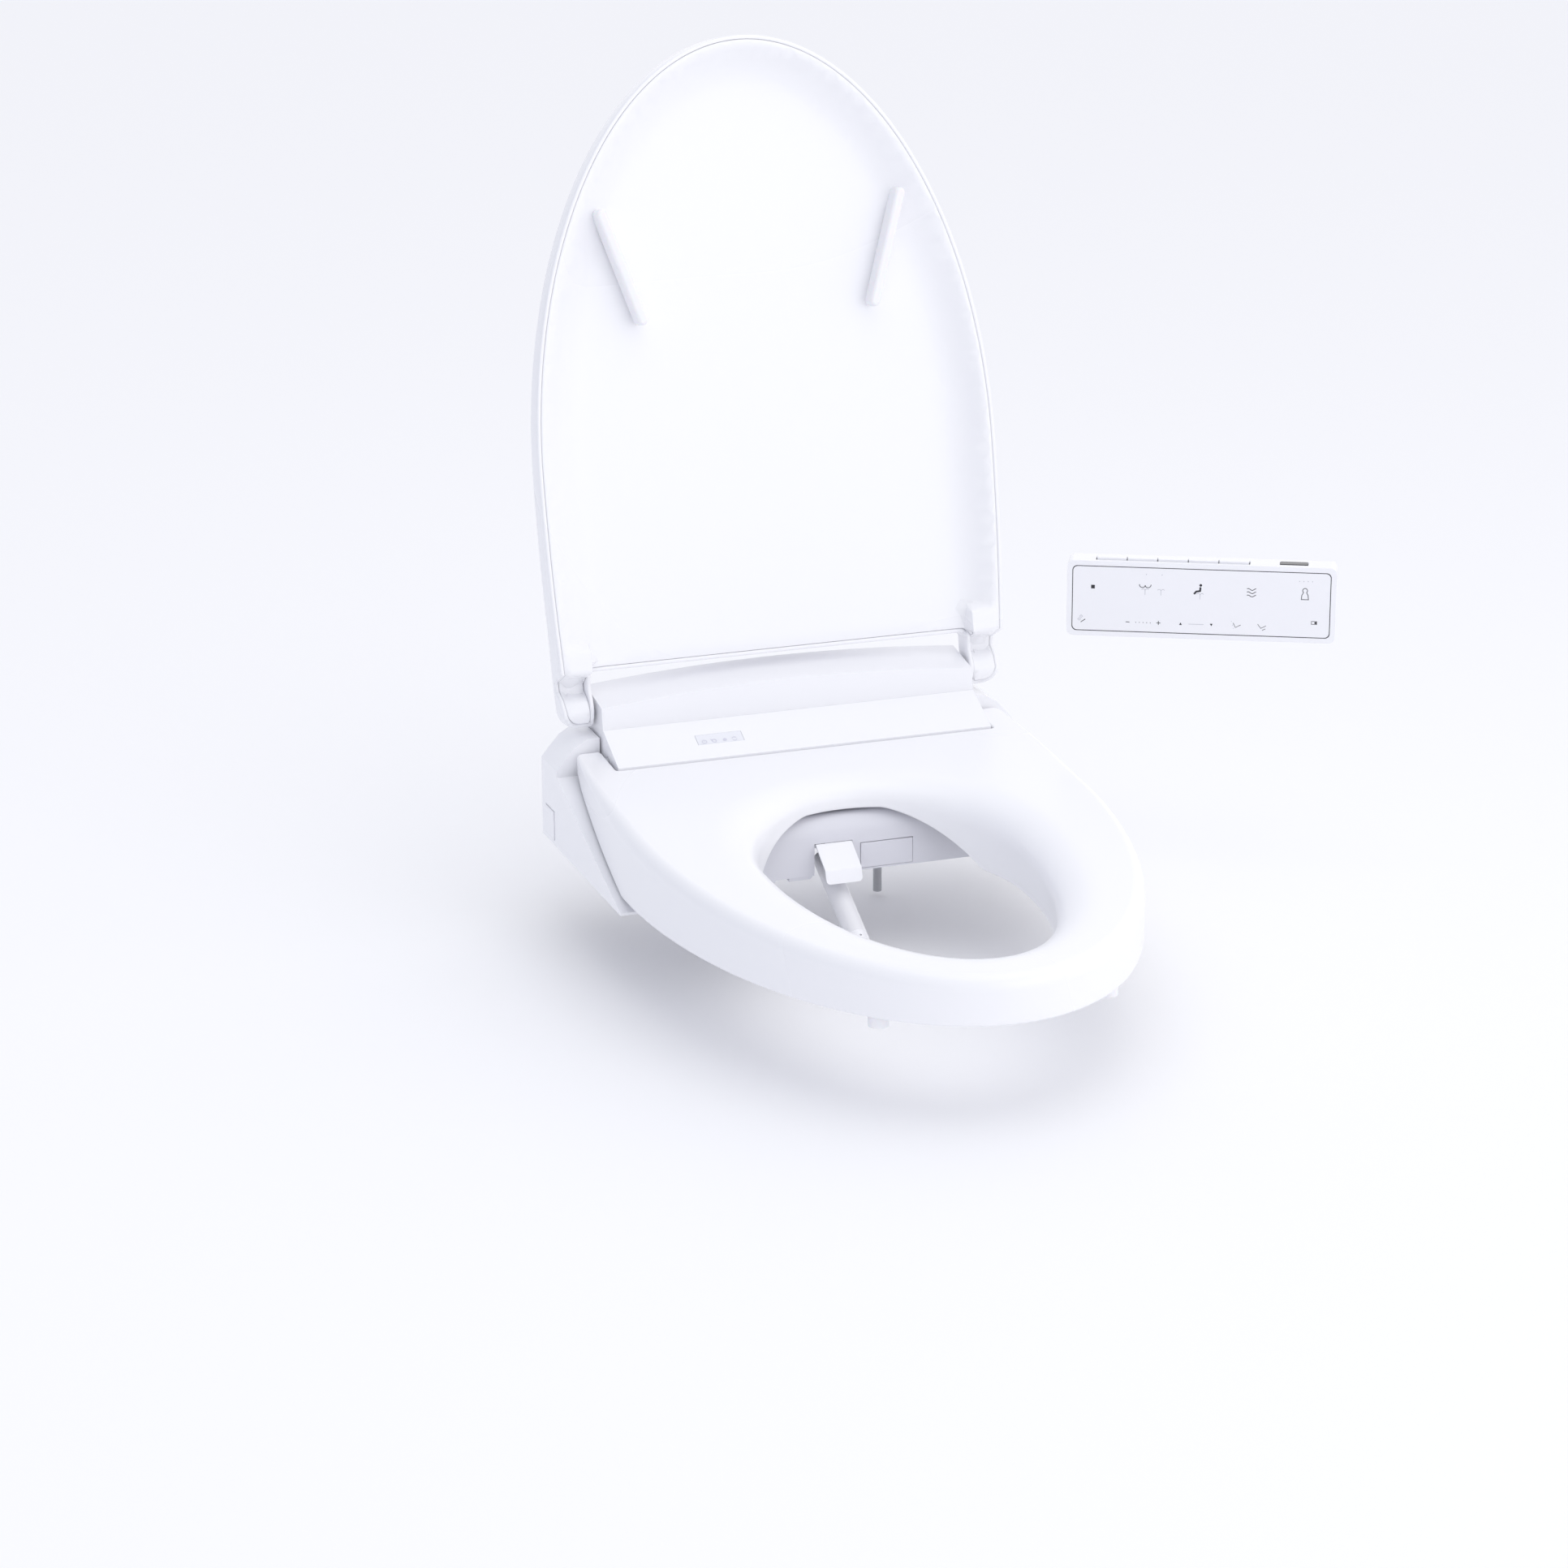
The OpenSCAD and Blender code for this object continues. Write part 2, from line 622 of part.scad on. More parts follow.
module wand_tip() color(white) along_wand(wand_out) difference() {
  union() {
    translate([0, 0, -26]) cylinder(r = wand_r, h = 20);
    intersection() {
      translate([0, 0, -wand_r - 0.5]) sphere(r = wand_r + 0.4);
      translate([0, 0, -6]) cylinder(r = wand_r, h = 6);
    }
    translate([0, 0, -34]) cylinder(r = wand_r - 2.3, h = 9);
  }
  translate([0, 0, -40]) cylinder(r = 3.2, h = 32);
  for (s = [-10, -15, -20])
    translate([0, 0, s]) rotate([90, 0, 0]) translate([0, 0, -12]) cylinder(r = 0.9, h = 12, $fn = 24);
}

module wand_rail() color(dark) along_wand(0) difference() {
  box([-12.5, -14.5, -168], [12.5, -wand_r - 0.4, -52]);
  box([-8, -13, -164], [8, -11, -56]);
}

module wand_motor() color(steel) translate([wand_x, 0, 0]) {
  box([16, 18, 52], [40, 42, 76]);
  rod_x(12.4, 16, 30, 64, 1.2);
}

module wand_pinion() color(white) translate([wand_x, 0, 0]) {
  difference() {
    rod_x(13, 15.6, 30, 64, 6);
    rod_x(12, 17, 30, 64, 1.2 + run_gap);
  }
}

module wand_flap() color(white)
  translate([wand_x, wall_y - 0.6, door_top_z + 1.4]) rotate([-flap_open, 0, 0]) difference() {
    union() {
      box([-mouth_half + 0.8, -1, -flap_len], [mouth_half - 0.8, 1, 0]);
      rod_x(-mouth_half + 0.8, mouth_half - 0.8, 0, 0, 1.5);
    }
    rod_x(-mouth_half, mouth_half, 0, 0, shutter_pin_r);
  }

// dryer
module dryer_door() color(white) {
  box([door_x[0] + door_gap, wall_y - 0.6, 2 + door_gap],
    [door_x[1] - door_gap, wall_y - 0.6 + door_t, door_top_z - door_gap - 0.1]);
}

module dryer_case() color(pale) difference() {
  union() {
    translate([fan_xy[0], fan_xy[1], 14]) cylinder(r = fan_case_r, h = 26);
    box([15, wall_y + 17, 14], [55, fan_xy[1], 40]);
  }
  translate([fan_xy[0], fan_xy[1], 16]) cylinder(r = fan_case_r - fan_wall, h = 22);
  box([15 + fan_wall, wall_y + 15, 16], [55 - fan_wall, fan_xy[1], 38]);
  translate([fan_xy[0], fan_xy[1], 10]) cylinder(r = 15, h = 8);
  translate([fan_xy[0], fan_xy[1], 36]) cylinder(r = 3, h = 8);
}

// Drum fan: a disc with upright blades round its edge
module drum_fan(r, z0, z1, blades, blade_w, hub_r) {
  translate([0, 0, z1]) cylinder(r = r, h = 2);
  for (i = [0:blades - 1]) rotate([0, 0, i * 360 / blades])
    translate([r - blade_w + 0.5, 0, z0]) rotate([0, 0, 35]) cube([blade_w - 0.5, 1.2, z1 - z0 + 0.5]);
  translate([0, 0, z1 - 6]) cylinder(r = hub_r, h = 7);
}

module dryer_impeller() color(dark) translate([fan_xy[0], fan_xy[1], 0]) difference() {
  drum_fan(fan_case_r - 5, 18, 35, fan_blades, 7, 5);
  translate([0, 0, 20]) cylinder(r = 1.5 + run_gap, h = 30);
}

module dryer_motor() color(steel) translate([fan_xy[0], fan_xy[1], 0]) {
  translate([0, 0, 40.2]) cylinder(r = 14, h = 17);
  translate([0, 0, 32]) cylinder(r = 1.5, h = 9);
}

module dryer_heater() color([0.8, 0.75, 0.6]) {
  box([17.4, -78, 16.4], [19, -48, 37.6]);
  for (i = [0:5]) box([19, -76 + i * 5, 16.4], [52, -75.4 + i * 5, 37.6]);
}

// deodoriser
module deodor_case() color(pale) difference() {
  union() {
    translate([deo_xy[0], deo_xy[1], 14]) cylinder(r = deo_case_r, h = 24);
    box([deo_xy[0] - 20, -66, 14], [deo_xy[0] + 20, deo_xy[1], 38]);
  }
  translate([deo_xy[0], deo_xy[1], 16]) cylinder(r = deo_case_r - fan_wall, h = 20);
  box([deo_xy[0] - 20 + fan_wall, -70, 16], [deo_xy[0] + 20 - fan_wall, deo_xy[1], 36]);
  translate([deo_xy[0], deo_xy[1], 10]) cylinder(r = 12, h = 8);
}

module deodor_impeller() color(dark) translate([deo_xy[0], deo_xy[1], 0])
  drum_fan(deo_case_r - 6, 18, 33, deo_blades, 6, 4);

module deodor_filter() color([0.25, 0.27, 0.25]) difference() {
  box([92, -92, 14], [132, -66.5, 38]);
  for (i = [0:6]) for (j = [0:3]) box([95 + i * 5, -95, 17 + j * 5], [98.4 + i * 5, -69, 20.4 + j * 5]);
}

// water side
module inlet_fitting() color([0.72, 0.62, 0.4]) translate([inlet_xy[0], inlet_xy[1], 0]) difference() {
  union() {
    translate([0, 0, -2]) cylinder(r = inlet_r, h = 15);
    translate([0, 0, 12.8]) cylinder(r = 13, h = 8);
    translate([0, 0, 20.8]) cylinder(r = 8, h = 10);
  }
  translate([0, 0, -3]) cylinder(r = 6, h = 40);
}

module valve_block() color([0.3, 0.3, 0.32]) difference() {
  union() {
    box([-150, 17, 31], [-114, 44, 44]);
    translate([inlet_xy[0], inlet_xy[1], 44]) cylinder(r = 10, h = 20);
    rod_x(-114, -104, 30, 37, 5);
  }
  translate([inlet_xy[0], inlet_xy[1], 30]) cylinder(r = 5, h = 8);
  rod_x(-120, -100, 30, 37, 3);
}

module heat_exchanger() color([0.86, 0.86, 0.84]) {
  box([-140, -66, 14], [-52, -14, 40]);
  for (x = [-128, -66]) rod_y(x, -14, -6, 27, 4.5);
  for (i = [0:6]) box([-134 + i * 12, -66.6, 16], [-132 + i * 12, -66, 38]);
}

module pump() color([0.25, 0.27, 0.3]) {
  rod_x(-100, -60, 12, 28, 13);
  rod_x(-60, -50, 12, 28, 9);
  rod_y(-92, -4, 12, 28, 4);
}

// electrics
module power_board() color([0.15, 0.45, 0.3]) {
  box([80, 0, 46], [150, 43, 47.6]);
  for (x = [92, 112]) translate([x, 32, 47.6]) cylinder(r = 8, h = 18);
  box([124, 12, 47.6], [146, 34, 60]);
  box([86, 4, 47.6], [104, 20, 56]);
  for (p = [[84, 6], [146, 39]])
    translate([p[0], p[1], case_top_z]) cylinder(r = 2.5, h = 46 - case_top_z);
}

module control_board() color([0.15, 0.45, 0.3]) {
  box([-100, 16, 52], [-30, 42, 53.6]);
  box([-80, 20, 53.6], [-66, 34, 55.4]);
  box([-54, 20, 53.6], [-44, 30, 56]);
  for (i = [0:3]) box([-98 + i * 6, 34, 53.6], [-94 + i * 6, 40, 58]);
  translate([-60, 30, floor_z + 32.5]) cylinder(r = 3, h = 52 - floor_z - 32.5);
}

// remote
module rounded_slab(w, h, y0, y1, r) {
  rotate([90, 0, 0]) translate([0, 0, -y1]) linear_extrude(height = y1 - y0) union() {
    square([w - 2 * r, h], center = true);
    square([w, h - 2 * r], center = true);
    for (x = [-1, 1], z = [-1, 1]) translate([x * (w / 2 - r), z * (h / 2 - r)]) circle(r = r, $fn = 32);
  }
}

rc_front = -rc_t / 2;
rc_back = rc_t / 2;
key_x0 = -rc_w / 2 + 35;

module remote_case() color(white) remote_frame() difference() {
  rounded_slab(rc_w, rc_h, rc_front + 1.8, rc_back, 5);
  rounded_slab(rc_w - 4.4, rc_h - 4.4, rc_front - 1, rc_back - 2.2, 3.5);
  // key strip and window along the top edge
  box([key_x0 - key_pitch / 2 - 0.4, -6.3, rc_h / 2 - 4],
    [key_x0 + 4.5 * key_pitch + 0.4, 3.3, rc_h / 2 + 1]);
  box([rc_w / 2 - 45, -4.3, rc_h / 2 - 4], [rc_w / 2 - 23, 4.3, rc_h / 2 + 1]);
  // battery bay opening in the back
  box([-62, rc_back - 3, -18], [-2, rc_back + 1, 6]);
  // hanger pocket in the back
  box([18, rc_back - 3, -26], [58, rc_back + 1, 16]);
}

module remote_face() color(white) remote_frame() difference() {
  rounded_slab(rc_w, rc_h, rc_front, rc_front + 1.8, 5);
  rounded_slab(rc_w - 8, rc_h - 8, rc_front - 1, rc_front + 0.3, 4);
}

module ir_window() color([0.1, 0.08, 0.12]) remote_frame()
  box([rc_w / 2 - 44.8, -4.1, rc_h / 2 - 2.2], [rc_w / 2 - 23.2, 4.1, rc_h / 2 + 0.4]);

module key_at(i) color(white) remote_frame() {
  x = key_x0 + (i - 1) * key_pitch;
  box([x - key_w / 2, -5.8, rc_h / 2 - 3.4], [x + key_w / 2, 2.8, rc_h / 2 + 1.6]);
  box([x - 2, -3, rc_h / 2 - 6], [x + 2, 1, rc_h / 2 - 3.4]);
}

module key_1() { key_at(1); }
module key_2() { key_at(2); }
module key_3() { key_at(3); }
module key_4() { key_at(4); }
module key_5() { key_at(5); }

module remote_board() color([0.15, 0.45, 0.3]) remote_frame() difference() {
  box([-rc_w / 2 + 6, -6.6, -rc_h / 2 + 5], [rc_w / 2 - 6, -5, rc_h / 2 - 8]);
  for (x = [-90, 90]) translate([x, 0, 0]) rotate([90, 0, 0]) cylinder(r = 1.6, h = 20);
}

module remote_cell(z) color(steel) remote_frame()
  translate([-32, 1.4, z]) rotate([0, 90, 0]) translate([0, 0, -25]) {
    cylinder(r = 5.2, h = 49);
    translate([0, 0, 49]) cylinder(r = 1.8, h = 1.2);
  }

module remote_cell_low() { remote_cell(-12.4); }

module remote_cell_high() { remote_cell(0.4); }

module battery_door() color(white) remote_frame()
  box([-61.7, rc_back - 2, -17.7], [-2.3, rc_back - 0.1, 5.7]);

module remote_hanger() color(white) remote_frame() difference() {
  union() {
    box([-64, rc_back + 1.2, -30], [64, rc_back + 4, 26]);
    // tongue that the remote hangs on
    box([22, rc_back - 2, -6], [54, rc_back + 1.2, 4]);
    box([22, rc_back - 2.4, 4], [54, rc_back - 0.4, 12]);
  }
  for (x = [-40, 40]) translate([x, rc_back + 8, -18]) rotate([90, 0, 0]) cylinder(r = 2.2, h = 12);
}

base_plate();
bolt_left();
bolt_right();
lower_case();
cheek_left();
cheek_right();
front_cover();
ledge_cover();
hood_cover();
indicator_lens();
release_button();
lid_outer();
lid_liner();
lid_bumper_left();
lid_bumper_right();
lid_pin();
lid_damper();
seat_top();
seat_base();
seat_heater();
seat_buffer_fl();
seat_buffer_fr();
seat_buffer_rl();
seat_buffer_rr();
seat_pin();
seat_damper();
wand_rail();
wand_tube();
wand_tip();
wand_motor();
wand_pinion();
wand_flap();
dryer_door();
dryer_case();
dryer_impeller();
dryer_motor();
dryer_heater();
deodor_case();
deodor_impeller();
deodor_filter();
inlet_fitting();
valve_block();
heat_exchanger();
pump();
power_board();
control_board();
remote_hanger();
remote_case();
remote_face();
ir_window();
key_1();
key_2();
key_3();
key_4();
key_5();
remote_board();
remote_cell_low();
remote_cell_high();
battery_door();
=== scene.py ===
import bpy, bmesh, json, math
from mathutils import Vector, Matrix
from mathutils.geometry import delaunay_2d_cdt, tessellate_polygon


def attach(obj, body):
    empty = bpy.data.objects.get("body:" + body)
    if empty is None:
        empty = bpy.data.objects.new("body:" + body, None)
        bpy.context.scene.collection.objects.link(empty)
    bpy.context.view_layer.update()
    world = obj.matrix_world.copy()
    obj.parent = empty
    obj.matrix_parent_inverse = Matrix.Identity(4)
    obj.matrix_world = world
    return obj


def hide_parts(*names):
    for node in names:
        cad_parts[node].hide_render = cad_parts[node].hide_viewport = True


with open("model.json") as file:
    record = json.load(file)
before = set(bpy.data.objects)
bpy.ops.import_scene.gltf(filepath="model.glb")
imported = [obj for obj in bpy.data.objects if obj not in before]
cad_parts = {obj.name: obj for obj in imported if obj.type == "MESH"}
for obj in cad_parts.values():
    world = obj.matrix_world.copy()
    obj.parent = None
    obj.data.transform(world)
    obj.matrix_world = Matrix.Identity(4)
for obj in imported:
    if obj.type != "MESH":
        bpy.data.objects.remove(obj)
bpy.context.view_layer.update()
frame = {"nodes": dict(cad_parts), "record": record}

nodes = frame["nodes"]
mm = 0.001
print("frame loaded")


def linear(hexColour, alpha=1.0):
    # sRGB hex to linear light
    out = []
    for i in (1, 3, 5):
        c = int(hexColour[i:i + 2], 16) / 255
        out.append(c / 12.92 if c <= 0.04045 else ((c + 0.055) / 1.055) ** 2.4)
    return (*out, alpha)


def addNode(tree, kind, settings=None, inputs=None, links=None):
    # one node, its settings, fixed socket values, and the sockets that feed it
    node = tree.nodes.new(kind)
    for key, value in (settings or {}).items():
        setattr(node, key, value)
    for key, value in (inputs or {}).items():
        node.inputs[key].default_value = value
    for key, source in (links or {}).items():
        tree.links.new(source, node.inputs[key])
    return node


def startMaterial(name):
    mat = bpy.data.materials.new(name)
    mat.use_nodes = True
    mat.node_tree.nodes.clear()
    return mat, mat.node_tree


def endMaterial(tree, shader):
    out = addNode(tree, "ShaderNodeOutputMaterial")
    tree.links.new(shader.outputs[0], out.inputs["Surface"])


def mouldedPlastic(name, light, shade, roughness, coat, grainMm, grainDepth, subsurface=0.0):
    # injection-moulded plastic: an even colour that drifts very slightly over the whole part, a sheen that drifts
    # with it, and the fine ripple or grain that the mould leaves in the highlights
    mat, t = startMaterial(name)
    place = addNode(t, "ShaderNodeTexCoord")
    flow = addNode(t, "ShaderNodeTexNoise", None, {"Scale": 1 / 0.35, "Detail": 0.0},
                   {"Vector": place.outputs["Object"]})
    tint = addNode(t, "ShaderNodeMix", {"data_type": "RGBA"}, {6: linear(light), 7: linear(shade)},
                   {0: flow.outputs["Fac"]})
    rough = addNode(t, "ShaderNodeMapRange", None, {"To Min": roughness * 0.85, "To Max": roughness * 1.15},
                    {"Value": flow.outputs["Fac"]})
    grain = addNode(t, "ShaderNodeTexNoise", None, {"Scale": 1 / (grainMm * mm), "Detail": 1.0},
                    {"Vector": place.outputs["Object"]})
    bump = addNode(t, "ShaderNodeBump", None, {"Strength": 0.25, "Distance": grainDepth * mm},
                   {"Height": grain.outputs["Fac"]})
    shader = addNode(t, "ShaderNodeBsdfPrincipled", None,
                     {"IOR": 1.49, "Coat Weight": coat, "Coat Roughness": 0.2,
                      "Subsurface Weight": subsurface, "Subsurface Scale": 0.003},
                     {"Base Color": tint.outputs[2], "Roughness": rough.outputs[0], "Normal": bump.outputs[0]})
    endMaterial(t, shader)
    return mat


def metalFinish(name, light, dark, roughness, lineMm, stretch):
    # bare metal: brushed or rolled lines that vary the sheen along one direction
    mat, t = startMaterial(name)
    place = addNode(t, "ShaderNodeTexCoord")
    lay = addNode(t, "ShaderNodeMapping", None, {"Scale": stretch}, {"Vector": place.outputs["Object"]})
    lines = addNode(t, "ShaderNodeTexNoise", None, {"Scale": 1 / (lineMm * mm), "Detail": 2.0},
                    {"Vector": lay.outputs[0]})
    tint = addNode(t, "ShaderNodeMix", {"data_type": "RGBA"}, {6: linear(light), 7: linear(dark)},
                   {0: lines.outputs["Fac"]})
    rough = addNode(t, "ShaderNodeMapRange", None, {"To Min": roughness * 0.75, "To Max": roughness * 1.25},
                    {"Value": lines.outputs["Fac"]})
    shader = addNode(t, "ShaderNodeBsdfPrincipled", None, {"Metallic": 1.0},
                     {"Base Color": tint.outputs[2], "Roughness": rough.outputs[0]})
    endMaterial(t, shader)
    return mat


# ABS, injection-moulded and polished: clean blue-white with broad soft highlights
glossWhite = mouldedPlastic("absMouldedPolished", "#f9f9fc", "#f7f7fb", 0.24, 0.3, 2.2, 0.003)
# polypropylene, injection-moulded: the ring and lid, a little softer and whiter than the hood
seatWhite = mouldedPlastic("polypropyleneMoulded", "#f9f9fc", "#f8f8fb", 0.28, 0.25, 2.6, 0.003)
# ABS, spark-eroded mould: the fine matt grain of the front wall and its doors
satinWhite = mouldedPlastic("absMouldedSatin", "#e4e4eb", "#e1e1e8", 0.5, 0.0, 0.7, 0.02)
# polypropylene, unpolished mould: the base and the inner cases
innerWhite = mouldedPlastic("polypropyleneUnpolished", "#e2e2e6", "#dadadf", 0.55, 0.0, 1.0, 0.03)
# acetal, moulded smooth: the wand barrel, cool grey with a long soft highlight
wandGrey = mouldedPlastic("acetalMoulded", "#f0f0f3", "#eeeef2", 0.3, 0.1, 1.6, 0.006)
# silicone rubber, compression-moulded: milky bumpers with a soft edge glow
milkSilicone = mouldedPlastic("siliconeMoulded", "#f8f8fb", "#f6f6fa", 0.48, 0.0, 0.9, 0.012, 0.15)
# nylon with carbon black, moulded: rails, fans and dampers
blackNylon = mouldedPlastic("nylonMouldedBlack", "#26262a", "#1e1e22", 0.5, 0.0, 0.8, 0.03)
# acrylic, moulded and tinted: the infrared window
smokedAcrylic = mouldedPlastic("acrylicMouldedSmoked", "#15131a", "#100e15", 0.12, 0.5, 3.0, 0.002)
# acrylic, moulded clear over white: the indicator window
pearlAcrylic = mouldedPlastic("acrylicMouldedPearl", "#eff0f6", "#ebecf3", 0.16, 0.5, 3.0, 0.002)
# epoxy glass laminate under solder mask: boards
boardGreen = mouldedPlastic("laminateMasked", "#2c6a4a", "#235a3e", 0.4, 0.2, 0.6, 0.02)
# ink, screen printed: the legends of the remote
printInk = mouldedPlastic("inkScreenPrinted", "#2c2c32", "#36363c", 0.6, 0.0, 0.5, 0.004)
paleInk = mouldedPlastic("inkScreenPrintedPale", "#c4c4cd", "#cacad2", 0.6, 0.0, 0.5, 0.004)
# stainless steel, brushed: pins and motor cans
brushedSteel = metalFinish("stainlessBrushed", "#c4c5c8", "#a9aaad", 0.3, 0.5, (1, 8, 8))
# brass, turned: the water inlet
turnedBrass = metalFinish("brassTurned", "#d8bf86", "#c0a468", 0.26, 0.4, (1, 1, 9))
# aluminium foil, rolled: heaters
rolledFoil = metalFinish("aluminiumRolled", "#d6d4cd", "#bdbbb2", 0.34, 0.9, (1, 6, 1))

# ink, screen printed thin under lacquer: the indicator marks, hardly darker than the shell
faintInk = mouldedPlastic("inkScreenPrintedFaint", "#d2d2e0", "#d6d6e3", 0.4, 0.2, 0.5, 0.004)

slotFinish = {"white_shell": glossWhite, "inner_plastic": innerWhite, "wand_grey": wandGrey,
              "soft_buffer": milkSilicone, "dark_plastic": blackNylon, "steel": brushedSteel, "brass": turnedBrass,
              "lens": pearlAcrylic, "ir_dark": smokedAcrylic, "circuit": boardGreen, "foil": rolledFoil}
slotOf = {s["node"]: s["material_slot"] for s in frame["record"]["subparts"]}
finishOf = {name: slotFinish[slot] for name, slot in slotOf.items()}
for name in ("front_cover", "dryer_door"):
    finishOf[name] = satinWhite
print("materials made")


def makePiece(name, verts, faces, finish, body, slotName, stands=(), place=None, smoothAngle=40):
    # verts in millimetres, placed by a matrix that is also in millimetres
    mesh = bpy.data.meshes.new(name)
    pts = [(place @ Vector(v)) if place else Vector(v) for v in verts]
    mesh.from_pydata([tuple(p * mm) for p in pts], [], faces)
    bm = bmesh.new()
    bm.from_mesh(mesh)
    bmesh.ops.remove_doubles(bm, verts=bm.verts, dist=1e-6)
    bmesh.ops.recalc_face_normals(bm, faces=bm.faces)
    limit = math.radians(smoothAngle)
    for f in bm.faces:
        f.smooth = True
    for e in bm.edges:
        e.smooth = len(e.link_faces) != 2 or e.calc_face_angle(0) < limit
    bm.to_mesh(mesh)
    bm.free()
    obj = bpy.data.objects.new(name, mesh)
    bpy.context.scene.collection.objects.link(obj)
    mesh.materials.append(finish)
    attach(obj, body)
    if stands:
        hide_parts(*stands)
    return obj


def flatNormals(obj):
    # broad flat faces keep their own shading beside the narrow rounded strips
    m = obj.modifiers.new("weightedShade", "WEIGHTED_NORMAL")
    m.keep_sharp = True
    m.weight = 80


def softEdges(obj, widthMm, segments=3, angle=32):
    weld = obj.modifiers.new("weld", "WELD")
    weld.merge_threshold = 2e-6
    clean = obj.modifiers.new("mergeFlats", "DECIMATE")
    clean.decimate_type = "DISSOLVE"
    clean.angle_limit = math.radians(0.4)
    bev = obj.modifiers.new("roundedEdges", "BEVEL")
    bev.width = widthMm * mm
    bev.segments = segments
    bev.limit_method = "ANGLE"
    bev.angle_limit = math.radians(angle)
    bev.use_clamp_overlap = True
    bev.harden_normals = False
    for p in obj.data.polygons:
        p.use_smooth = True
    flatNormals(obj)


def roundCorners(points, steps=5):
    # (x, y, r) corners to a closed outline with an arc at each corner
    out = []
    n = len(points)
    for i in range(n):
        x, y, r = points[i]
        if r <= 0:
            out.append((x, y))
            continue
        p = Vector((x, y))
        a = (Vector(points[i - 1][:2]) - p).normalized()
        b = (Vector(points[(i + 1) % n][:2]) - p).normalized()
        half = a.angle(b) / 2
        reach = r / math.tan(half)
        centre = p + (a + b).normalized() * (r / math.sin(half))
        v0, v1 = p + a * reach - centre, p + b * reach - centre
        turn = v0.angle_signed(v1)
        for k in range(steps + 1):
            w = Vector(v0)
            w.rotate(Matrix.Rotation(-turn * k / steps, 2))
            out.append(tuple(centre + w))
    return out


def inward(path):
    # mitred inward normal at each point of a counterclockwise outline
    out = []
    n = len(path)
    for i in range(n):
        a, p, b = (Vector(path[j % n]) for j in (i - 1, i, i + 1))
        d0, d1 = (p - a).normalized(), (b - p).normalized()
        n0, n1 = Vector((-d0.y, d0.x)), Vector((-d1.y, d1.x))
        m = (n0 + n1).normalized()
        out.append(m / max(0.5, m.dot(n0)))
    return out


def spreadPoints(path, longest, step):
    # adds points along the long sides of an outline
    out = []
    for i, p in enumerate(path):
        q = path[(i + 1) % len(path)]
        out.append(p)
        gap = math.dist(p, q)
        if gap > longest:
            n = int(gap // step)
            out += [(p[0] + (q[0] - p[0]) * k / n, p[1] + (q[1] - p[1]) * k / n) for k in range(1, n)]
    return out


def ringFaces(count, rows, start=0, flip=False):
    faces = []
    for r in range(rows - 1):
        a, b = start + r * count, start + (r + 1) * count
        for i in range(count):
            j = (i + 1) % count
            f = (a + i, a + j, b + j, b + i)
            faces.append(f[::-1] if flip else f)
    return faces


def fillBetween(verts, loops):
    # flat faces over the region between outline loops, each a list of vertex indexes
    flat = [i for loop in loops for i in loop]
    tris = tessellate_polygon([[Vector((verts[i][0], verts[i][1], 0)) for i in loop] for loop in loops])
    return [tuple(flat[k] for k in tri) for tri in tris]


def eggSide(half, tail, mid, y):
    return half * math.sqrt(1 - ((y - mid) / tail) ** 2)


seatRing = {"half": 187.3, "nose": 326.8, "tail": 480.0, "mid": -148.0, "armEnd": 12.2, "notch": -30.5,
            "notchHalf": 157.0, "topAtLedge": 75.0, "ledge": -29.0, "tilt": 3.72, "skirt": 10.0, "rampStart": -134.0,
            "rampSlope": 0.348, "hubY": -2.0, "hubZ": 73.0, "hubR": 14.6, "wall": 3.0, "frontRoll": 10.0,
            "armRoll": 2.2, "rollWide": 36.0, "rollDeep": 24.0, "rollWideRear": 26.0, "rollDeepRear": 15.0,
            "deckRoom": 48.8, "lipFoot": 10.6, "lipFootRear": 49.0, "lipFootStart": -172.0, "lipFootSpan": 60.0,
            "rollShallowStart": -150.0, "rollShallowSpan": 40.0,
            "holeHalf": 101.0, "holeRear": -106.0, "holeFront": -419.0, "holeMid": -225.0}


def seatTopAt(y):
    s = seatRing
    plane = s["topAtLedge"] + (y - s["ledge"]) * math.tan(math.radians(s["tilt"]))
    if y > s["hubY"]:
        plane = min(plane, s["hubZ"] + math.sqrt(max(0, s["hubR"] ** 2 - (y - s["hubY"]) ** 2)))
    return plane


def seatBottomAt(y):
    s = seatRing
    z = s["skirt"] + max(0, y - s["rampStart"]) * s["rampSlope"]
    if y > s["hubY"]:
        z = max(z, s["hubZ"] - math.sqrt(max(0, s["hubR"] ** 2 - (y - s["hubY"]) ** 2)))
    return z


def holePoint(i, grow, count):
    s = seatRing
    t = 2 * math.pi * i / count
    c = math.cos(t)
    reach = (s["holeRear"] - s["holeMid"] if c > 0 else s["holeMid"] - s["holeFront"]) + grow
    return (s["holeHalf"] + grow) * math.sin(t), s["holeMid"] + reach * c


